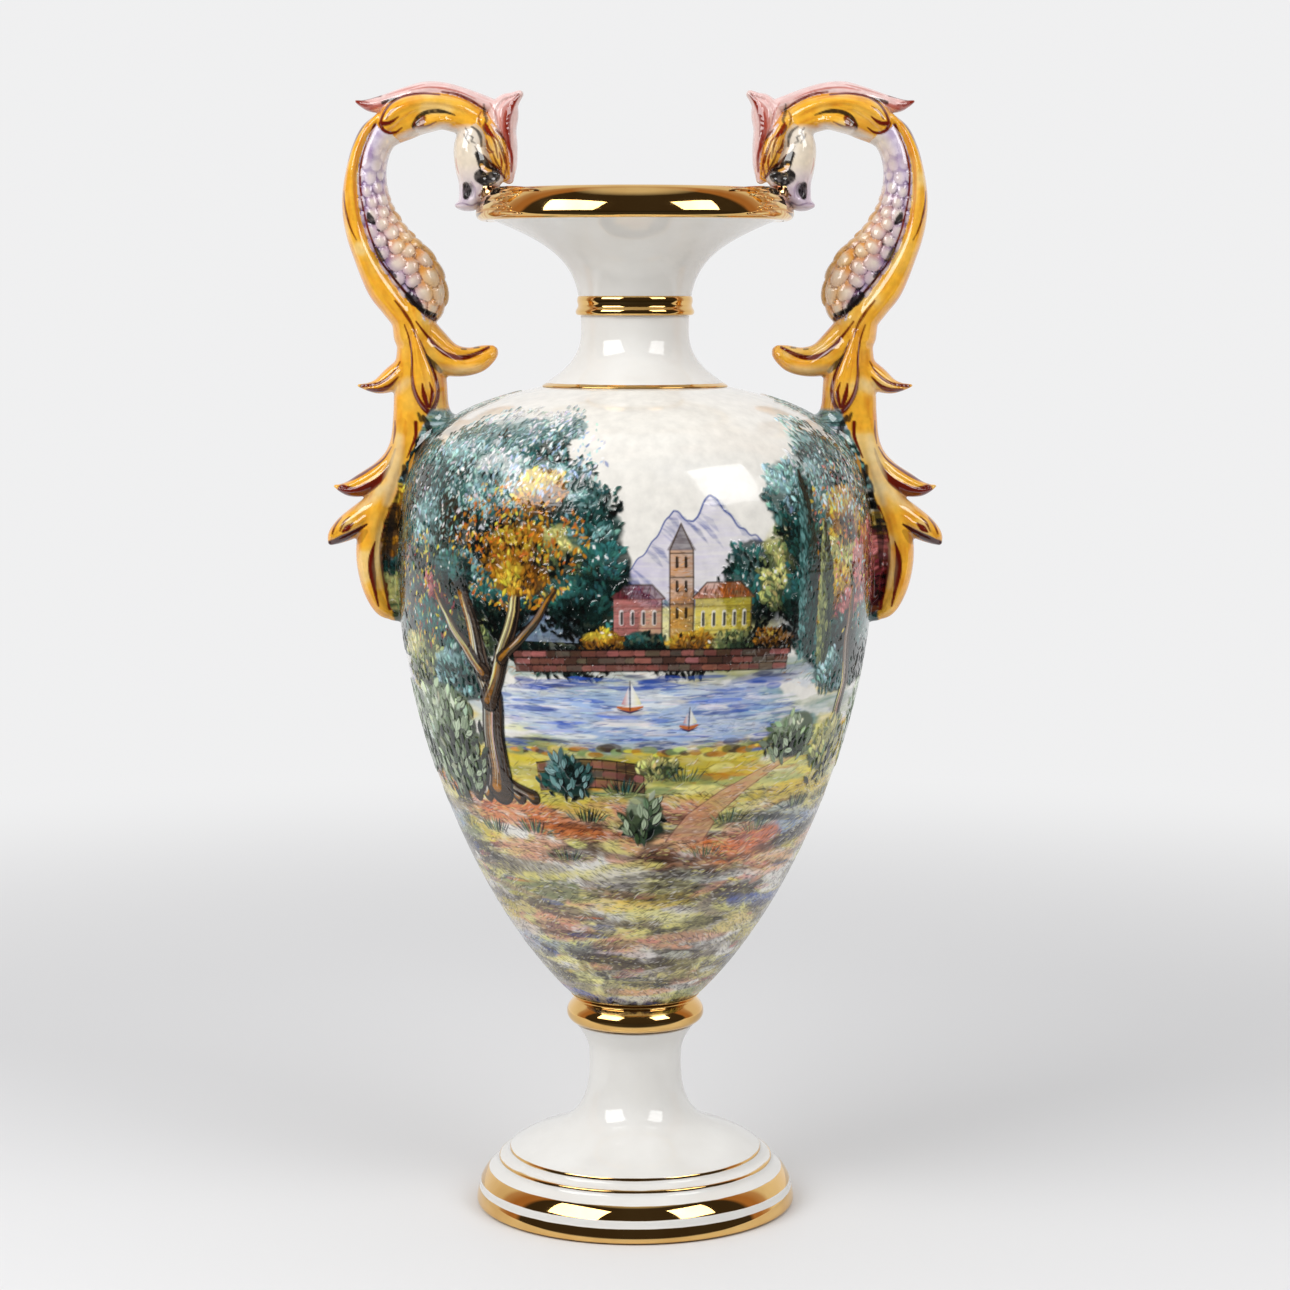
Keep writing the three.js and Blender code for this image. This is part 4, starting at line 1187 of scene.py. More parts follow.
def make_body():
    """The painted body as upright panels; gives back the canvas's colours."""
    paint_sky()
    paint_far_shore()
    paint_meadow()
    paint_low_ground()
    paint_back()
    paint_front()
    paint_shoulders()
    colour, relief = canvas.finished()
    normal = np.gradient(body_line, axis=0)
    normal /= np.hypot(normal[:, 0], normal[:, 1])[:, None]
    normal = np.stack([normal[:, 1], -normal[:, 0]], 1)
    fade = np.clip(np.minimum(body_run, body_run[-1] - body_run) / 6, 0, 1)[:, None]
    height = relief * fade - 0.25
    # The canvas has its middle column in front, and its first column once more where its two sides meet
    angle = -math.pi / 2 + (np.arange(COLUMNS + 1) / COLUMNS - 0.5) * 2 * math.pi
    height = np.concatenate([height, height[:, :1]], 1)
    closed_colour = np.concatenate([colour, colour[:, :1]], 1)
    radius = body_line[:, 0][:, None] + height * normal[:, 0][:, None]
    z = body_line[:, 1][:, None] + height * normal[:, 1][:, None]
    verts = np.stack([radius * np.cos(angle), radius * np.sin(angle), z], -1)
    # Normals of the whole surface, so that the panels meet without a line between them
    wrapped = np.concatenate([verts[:, -2:-1], verts, verts[:, 1:2]], 1)
    round_step = wrapped[:, 2:] - wrapped[:, :-2]
    up_step = np.gradient(verts, axis=0)
    facing = np.cross(round_step, up_step)
    facing /= np.linalg.norm(facing, axis=-1, keepdims=True)
    across = COLUMNS // PANELS
    for k in range(PANELS):
        part = slice(k * across, (k + 1) * across + 1)
        rows, columns = verts.shape[0], across + 1
        panel = link(f"painted_body_{k + 1}", verts[:, part].reshape(-1, 3), grid_faces(rows, columns))
        panel.data.normals_split_custom_set_from_vertices(facing[:, part].reshape(-1, 3))
        share_x, share_z = np.meshgrid(np.linspace(*MAP_ENDS, columns), np.linspace(*MAP_ENDS, rows))
        map_points(panel, share_x.ravel(), share_z.ravel())
        colour_attribute(panel, "paint", closed_colour[:, part].reshape(-1, 3))
        finish_piece(panel, PAINT, "painted_glaze", "urn_body")
    return colour


PANELS = 4
MAP_ENDS = (0.01, 0.99)
BODY_COLOUR = make_body()


# Handles: one is drawn on the X-Z plane in millimetres, out from the axis and up, and the other mirrors it.
# Each limb is a row of stations [out, up, half width, half depth]; together they are one field of
# distances, with soft joints as glaze leaves them, and the field becomes a mesh.
PITCH = 0.6
FAR = 1e9
FIELD_LOW = np.array([52.0, -21.0, 311.0])
FIELD_HIGH = np.array([168.0, 21.0, 604.0])
field_x = np.arange(FIELD_LOW[0], FIELD_HIGH[0], PITCH)
field_y = np.arange(0, FIELD_HIGH[1], PITCH)
field_z = np.arange(FIELD_LOW[2], FIELD_HIGH[2], PITCH)


def drawn(points):
    """The drawing's left handle, moved to the mean of the two."""
    out = [list(p) for p in points]
    for p in out:
        p[0] += float(np.interp(p[1], [400, 480, 560], [0, 1, 2]))
    return out


def between(edge_a, edge_b, depths, count):
    """Stations halfway between two edges."""
    a = smooth_rows(edge_a, 1.0)
    b = smooth_rows(edge_b, 1.0)
    rows = []
    for share in np.linspace(0, 1, count):
        pa = [np.interp(share, np.linspace(0, 1, len(a)), a[:, k]) for k in range(2)]
        pb = [np.interp(share, np.linspace(0, 1, len(b)), b[:, k]) for k in range(2)]
        width = math.hypot(pa[0] - pb[0], pa[1] - pb[1]) / 2
        depth = np.interp(share, np.linspace(0, 1, len(depths)), depths)
        rows.append([(pa[0] + pb[0]) / 2, (pa[1] + pb[1]) / 2, width, depth])
    return rows


def smooth_rows(rows, step):
    """A Catmull-Rom line through rows of numbers, the first two of which are a place."""
    rows = np.array(rows, float)
    p = np.vstack([2 * rows[0] - rows[1], rows, 2 * rows[-1] - rows[-2]])
    out = []
    for a, b, c, d in zip(p, p[1:], p[2:], p[3:]):
        n = max(2, int(math.hypot(*(c - b)[:2]) / step))
        t = np.linspace(0, 1, n, endpoint=False)[:, None]
        square, cube = 2 * a - 5 * b + 4 * c - d, 3 * b - a - 3 * c + d
        out.append(0.5 * (2 * b + (c - a) * t + square * t**2 + cube * t**3))
    out.append(rows[-1:])
    return np.vstack(out)


class Limb:
    def __init__(self, name, rows, blend=2.0, paint="ochre", side=0.0, relief=None):
        self.name = name
        self.line = smooth_rows(drawn(rows), 0.8)
        self.line[:, 2:] = np.maximum(self.line[:, 2:], 0.4)
        self.blend = blend
        self.paint = paint
        self.side = side
        self.relief = relief
        gaps = np.hypot(*np.diff(self.line[:, :2], axis=0).T)
        self.run = np.r_[0, np.cumsum(gaps)]
        self.heading = np.gradient(self.line[:, :2], axis=0)
        self.heading /= np.hypot(*self.heading.T)[:, None]

    def locate(self, x, z):
        """The station whose circle is nearest in the plane, and the signed share of its half width."""
        best = np.full(x.shape, FAR, np.float32)
        index = np.zeros(x.shape, np.int32)
        for k, (cx, cz, width, _) in enumerate(self.line):
            d = np.hypot(x - cx, z - cz) - width
            better = d < best
            best = np.where(better, d, best)
            index = np.where(better, k, index)
        cx, cz, width, depth = np.moveaxis(self.line[index], -1, 0)
        dx, dz = x - cx, z - cz
        hx, hz = np.moveaxis(self.heading[index], -1, 0)
        v = np.hypot(dx, dz) / width * np.where(hx * dz - hz * dx > 0, 1, -1)
        return self.run[index], v, width, depth

    def distance(self, located, y):
        run, v, width, depth = located
        across = (np.abs(y) - self.side) / depth
        q = np.sqrt(v * v + across * across)
        slope = np.sqrt((v / width) ** 2 + (across / depth) ** 2 + 1e-8)
        f = np.clip((q - 1) * q / slope, -8, 8)
        if self.relief:
            f = f - self.relief(run, v, across)
        return f


def smooth_min(a, b, k):
    h = np.clip(0.5 + 0.5 * (b - a) / k, 0, 1)
    return b * (1 - h) + a * h - k * h * (1 - h)


# The scales: domes in staggered rows round the inner side of the neck
SCALE_ALONG = 6.8
SCALE_ROUND = 7.9


def scale_cells(run, v, across):
    """How far each point is from its scale's middle (1 = the scale's edge), the scale's number, and how far
    towards its tip the point lies. Each scale lies over the next row's."""
    girth = np.arctan2(across, -v) * 11.5
    row0 = np.floor(run / SCALE_ALONG)
    best = np.full(np.broadcast(run, girth).shape, 9.0, np.float32)
    number = np.zeros(best.shape, np.int32)
    lean = np.zeros(best.shape, np.float32)
    for step in (-1, 0, 1):
        row = row0 + step
        shift = 0.5 * (row % 2) + 0.13 * np.sin(row * 2.3)
        column = np.round(girth / SCALE_ROUND - shift)
        da = girth - (column + shift) * SCALE_ROUND
        ds = run - (row + 0.5 + 0.12 * np.sin(row * 5.1 + column * 3.7)) * SCALE_ALONG
        size = 4.5 + 0.6 * np.sin(row * 1.7 + column * 4.1)
        r = np.sqrt(da * da + (ds * 0.86) ** 2) / size
        closer = (r < best) & (best > 0.94)
        best = np.where(closer, r, best)
        number = np.where(closer, (row * 7 + column).astype(np.int32), number)
        lean = np.where(closer, ds / size, lean)
    return best, number, lean


def scale_relief(run, v, across):
    r, _, lean = scale_cells(run, v, across)
    grown = np.clip((run - 24) / 30, 0.06, 1)
    return grown * (1.8 * np.clip(1 - r * r, 0, 1) ** 0.6 * (1 + 0.4 * lean) - 0.7)


def fluted(amount, *places):
    """Soft grooves that run along a leaf at some shares of its width."""
    def relief(run, v, across):
        groove = 0
        for place in places:
            groove = groove + np.exp(-(((v - place) / 0.16) ** 2))
        return -amount * groove * np.clip(run / 8, 0, 1)
    return relief


loop_edge = [
    (121, 568), (126, 565), (128, 560), (130, 550), (129.7, 540), (127, 530), (121.2, 520), (112, 510),
    (104, 503), (99.4, 496), (98, 489), (100, 483), (104, 478),
]
band_inner = [
    (132.6, 578.6), (136.2, 573), (139.2, 565.5), (141.3, 557.5), (142, 550), (141.2, 541), (140.2, 533),
    (138.1, 523), (134.2, 512.5), (127, 500.6), (118.6, 489.6), (111.6, 481.4), (106, 474.2),
]
band_outer = [
    (131, 583.6), (137.6, 579.8), (143.6, 571), (147.6, 561), (151, 548), (152.2, 537), (151, 523),
    (146.4, 507), (139.8, 490), (131, 478), (126, 470), (125, 462),
]


def moved_out(edge, amount):
    """An edge of the drawing, moved away from the loop's hollow."""
    line = np.array(edge, float)
    way = np.gradient(line, axis=0)
    way /= np.hypot(*way.T)[:, None]
    return [tuple(p) for p in line + amount * np.stack([-way[:, 1], way[:, 0]], 1)]


belly_outer = moved_out([(129.5, 579.5)] + band_inner[:-1], 3.6)
LIMBS = [
    Limb("core", [
        (80, 577, 7, 9), (90, 581.5, 8.5, 10), (100, 584, 9, 11), (110, 583, 10, 11.5),
        (120, 579.5, 10.5, 11.5), (129.5, 573.5, 7.5, 9), (136.5, 564, 6, 8), (140, 552, 6, 8),
        (141, 540, 6, 8), (139, 527, 6.5, 8), (134.5, 514, 7, 8), (127, 502, 7.5, 8.5),
        (120, 490, 8.5, 9.5), (115.5, 477, 10.5, 12.5), (114, 463, 11, 12.5), (113, 448, 13.5, 12.5),
        (113, 432, 14.5, 13), (113, 414, 15, 13), (114, 398, 14, 12),
    ], 3),
    Limb("belly", between([(117.5, 571)] + loop_edge, belly_outer, [9.5, 11.5, 12.5, 13, 12.5, 11], 16),
         1.4, "scales", 0, scale_relief),
    Limb("band", between(band_inner, band_outer, [9.5, 12.5, 13, 13, 13.2, 13.2], 14), 0.8, "ochre", 0,
         fluted(0.35, 0.25)),
    Limb("arch_leaf", [
        (80, 580, 6, 9), (90, 585.5, 6.5, 11), (101, 588.3, 6, 12.8), (112, 587.5, 6.5, 13.8),
        (121, 583.5, 8, 14.2), (127, 578.5, 6.8, 13.2), (129, 576, 4, 11),
    ], 0.8, "ochre", 0, fluted(0.7, -0.2)),
    Limb("arch_fold", [
        (90, 579, 3, 9), (98, 580, 4.4, 12.4), (106, 578.4, 4.8, 14), (110.5, 576.4, 3.8, 13),
    ], 0.8, "ochre", 0, fluted(0.6, 0.1)),
    Limb("crest", [
        (69, 586, 3, 5), (77, 588.6, 4, 5.5), (86, 591.5, 4.6, 6), (97, 594.1, 5.2, 7),
        (107, 594.4, 5.6, 7.5), (117, 592.2, 5.2, 7.5), (127, 589.3, 4.6, 6.5), (135, 587.6, 3.8, 6),
        (140.5, 588.3, 2, 4), (144, 589.6, 0.8, 1.6),
    ], 0.9, "crest"),
    Limb("head", [
        (80, 574, 9, 10), (83.5, 566, 9.5, 11.5), (82, 557, 10.6, 12.4), (81.6, 548, 9.2, 11.4),
        (83.6, 540.5, 7.2, 9.6), (87.6, 536.6, 3.9, 7.4), (91.6, 535.6, 1.5, 4.5),
    ], 2.5, "head"),
    Limb("cheek", [(79, 552.5, 5.4, 12.6), (74.5, 549.5, 5.4, 13.6), (70.5, 550.5, 3.6, 12.6)], 1.2,
         "head"),
    Limb("joint", [(75, 543.5, 5, 11.5), (73, 539, 6.6, 13), (70, 535.8, 6, 12.5)], 1.2, "gilt"),
    Limb("mane", [
        (77.5, 579, 4.5, 11.5), (73, 572, 5, 13), (70, 563.5, 5.4, 13), (67.4, 556, 4, 11.5),
        (65.8, 550.5, 2.4, 8),
    ], 0.8, "ochre", 0, fluted(1.1, -0.5, 0.0, 0.5)),
    Limb("ear", [
        (64.6, 549.5, 2.0, 6), (63.4, 557, 2.4, 7.5), (64.1, 566, 3.4, 8.4), (66.6, 575, 5.4, 9),
        (67.4, 582.5, 7.2, 8.4), (65.8, 587.6, 5.4, 6.4), (62.2, 590.6, 2.8, 4.2),
        (58.8, 593.3, 0.9, 1.6),
    ], 0.9, "ear", 0, fluted(1.5, -0.35)),
    Limb("curl_roll", [
        (110, 462, 9, 11), (101, 455.5, 8.5, 10), (91, 451.5, 5.6, 9), (82, 453, 4.8, 8),
        (76, 457.3, 3.6, 6), (74, 459.6, 2, 4),
    ], 2.0),
    Limb("curl_face", [
        (110, 472, 6, 9), (103.5, 466, 5, 8), (96, 460, 3.8, 7), (88, 458.2, 3.2, 6), (80, 459.8, 2.6, 5),
        (75, 460.8, 1.6, 3),
    ], 0.7, "ochre"),
    Limb("drop_leaf", [
        (115, 470, 1.2, 1.6), (113.8, 461, 3, 2.6), (112, 452, 4.9, 3.4), (110.2, 442, 6.3, 3.8),
        (109, 435, 5.2, 3.2), (108.2, 428.4, 1.2, 1),
    ], 0.7, "ochre", 12.6, fluted(0.4, -0.3, 0.3)),
    Limb("small_leaf", [
        (119, 452, 6, 10), (126.5, 445.5, 6.6, 9), (134, 441.3, 4.4, 7.5), (140, 440.5, 2.4, 5),
        (145.6, 441.2, 0.8, 2),
    ], 1.6, "ochre", 0, fluted(0.7, 0.3)),
    Limb("tail", [
        (117, 424, 10, 12), (121, 410, 9, 12), (126, 397, 9.5, 12), (131, 384, 10.5, 12),
        (136, 370, 10.5, 12), (139, 356, 9.5, 11.5), (139.6, 345, 8.4, 11), (137.6, 334, 7.6, 10),
        (133.6, 325, 6.6, 8), (129.5, 320.5, 4, 5),
    ], 2.0, "ochre", 0, fluted(0.6, -0.25)),
    Limb("web", [
        (121, 404, 4.5, 10), (125.5, 390, 5.5, 10), (128, 374, 5.6, 9.5), (129.3, 358, 5.2, 9),
        (129, 344, 4.6, 8.5), (128, 331, 3.4, 7),
    ], 1.0, "root"),
    Limb("mid_leaf", [
        (127, 404, 5, 9), (134.5, 395, 6.4, 10), (143, 389.4, 6.4, 9), (150.5, 386.8, 4.4, 7),
        (156, 387, 2.2, 4.5), (159.3, 388, 0.8, 2),
    ], 1.4, "ochre", 0, fluted(0.9, 0.2)),
    Limb("low_leaf", [
        (137, 377, 8, 10), (145, 371, 8, 10.5), (152.5, 366.2, 7, 9.5), (158.5, 362, 4.8, 7),
        (161.8, 358.3, 1.8, 3.5),
    ], 1.4, "ochre", 0, fluted(0.6, -0.4, 0.15)),
]


# The eye's socket, the nostril and the fold over the eye: middle (x, z), half axes, and the face's place
# and the depth that they are pressed in
HOLLOWS = [
    (75.3, 550, 5.6, 3.6, 14, 4),
    (86.3, 543, 2.2, 3.8, 9.8, 4.0),
    (77.0, 557.5, 2.4, 4.0, 13.5, 2.4),
]


def hollows(f, x, y, z):
    """The field with the head's hollows pressed in on both faces."""
    for cx, cz, rx, rz, cy, depth in HOLLOWS:
        q = np.sqrt(((x - cx) / rx) ** 2 + ((z - cz) / rz) ** 2 + ((np.abs(y) - cy) / depth) ** 2)
        f = -smooth_min(-f, (q - 1) * 2.4, 1.2)
    return f


def body_clearance(x, y, z):
    """Height above the painted body's surface, in mm."""
    profile = np.interp(z, body_line[:, 1], body_line[:, 0])
    slope = np.gradient(body_line[:, 0], body_line[:, 1] + np.arange(len(body_line)) * 1e-6)
    lean = 1 / np.sqrt(1 + np.interp(z, body_line[:, 1], slope) ** 2)
    return (np.hypot(x, y) - profile) * lean


def handle_mesh():
    field = np.full((len(field_x), len(field_y), len(field_z)), 9.0, np.float32)
    for item in LIMBS:
        reach = item.line[:, 2].max() + 5
        low, high = item.line[:, :2].min(0) - reach, item.line[:, :2].max(0) + reach
        i0, i1 = np.searchsorted(field_x, [low[0], high[0]])
        k0, k1 = np.searchsorted(field_z, [low[1], high[1]])
        gx, gz = np.meshgrid(field_x[i0:i1], field_z[k0:k1], indexing="ij")
        located = [part[:, None, :] for part in item.locate(gx, gz)]
        block = (slice(i0, i1), slice(None), slice(k0, k1))
        f = item.distance(located, field_y[None, :, None])
        field[block] = smooth_min(field[block], f, item.blend)
    gx, gy, gz = np.meshgrid(field_x, field_y, field_z, indexing="ij", sparse=True)
    field = hollows(field, gx, gy, gz)
    skin = body_clearance(gx, gy, gz) + 0.8
    field = smooth_min(field, skin, 9.0)
    field = np.maximum(field, -(skin + 1.5))
    whole = np.concatenate([field[:, :0:-1], field], 1).astype(np.float32)
    grid = openvdb.FloatGrid(9.0)
    grid.copyFromArray(whole)
    points, quads = grid.convertToQuads(0.0)
    points = points * PITCH + np.array([field_x[0], -field_y[-1], field_z[0]])
    return points, quads


# Colours of the handles' glazes
FIRM = 0.45
OCHRE_GLAZE = linear((254, 187, 56))
DEEP_OCHRE = linear((216, 112, 22))
YELLOW_OCHRE = linear((255, 208, 98))
PURPLE = linear((136, 98, 160))
BRIGHT_GOLD = np.array([0.96, 0.68, 0.29])
# A cream tone of the glaze, also used for the handles' painted highlights
CREAM_GLAZE_AND_HIGHLIGHT = linear((250, 224, 168))
BROWN = linear((112, 26, 8))
RED_BROWN = linear((142, 34, 14))
DARK_BROWN = linear((72, 20, 12))
RED_WASH = linear((190, 84, 66))
PINK_GLAZE = linear((238, 184, 178))
PALE_PINK = linear((246, 226, 222))
LILAC_GLAZE = linear((188, 156, 198))
PALE_LILAC = linear((226, 214, 232))
GOLDEN = linear((236, 176, 88))
IVORY = linear((240, 226, 204))
SOFT_WHITE = linear((244, 234, 220))
SCALE_ORANGE = linear((232, 154, 66))
JOINT_PURPLE = linear((70, 44, 96))
JOINT_BROWN = linear((140, 82, 30))
# How soft the edge of a paint's strokes is in mm, and how much wider they run than they are drawn
BRUSHES = [(CREAM_GLAZE_AND_HIGHLIGHT, 3.5, 1.0), (SOFT_WHITE, 2.5, 1.0), (BROWN, FIRM, 1.3), (DARK_BROWN, FIRM, 1.3)]

LATTICE = rng.uniform(0, 1, (64, 64, 64)).astype(np.float32)


def mottle(points, scale, offset=0.0):
    """Smooth noise between 0 and 1 at points in mm, on cells of one scale."""
    p = points / scale + offset + 1000.0
    base = np.floor(p).astype(np.int64)
    t = p - base
    t = t * t * (3 - 2 * t)
    total = np.zeros(len(points), np.float32)
    for corner in range(8):
        bits = np.array([(corner >> k) & 1 for k in range(3)])
        weight = np.prod(np.where(bits, t, 1 - t), 1)
        cell = (base + bits) % 64
        total += weight * LATTICE[cell[:, 0], cell[:, 1], cell[:, 2]]
    return total


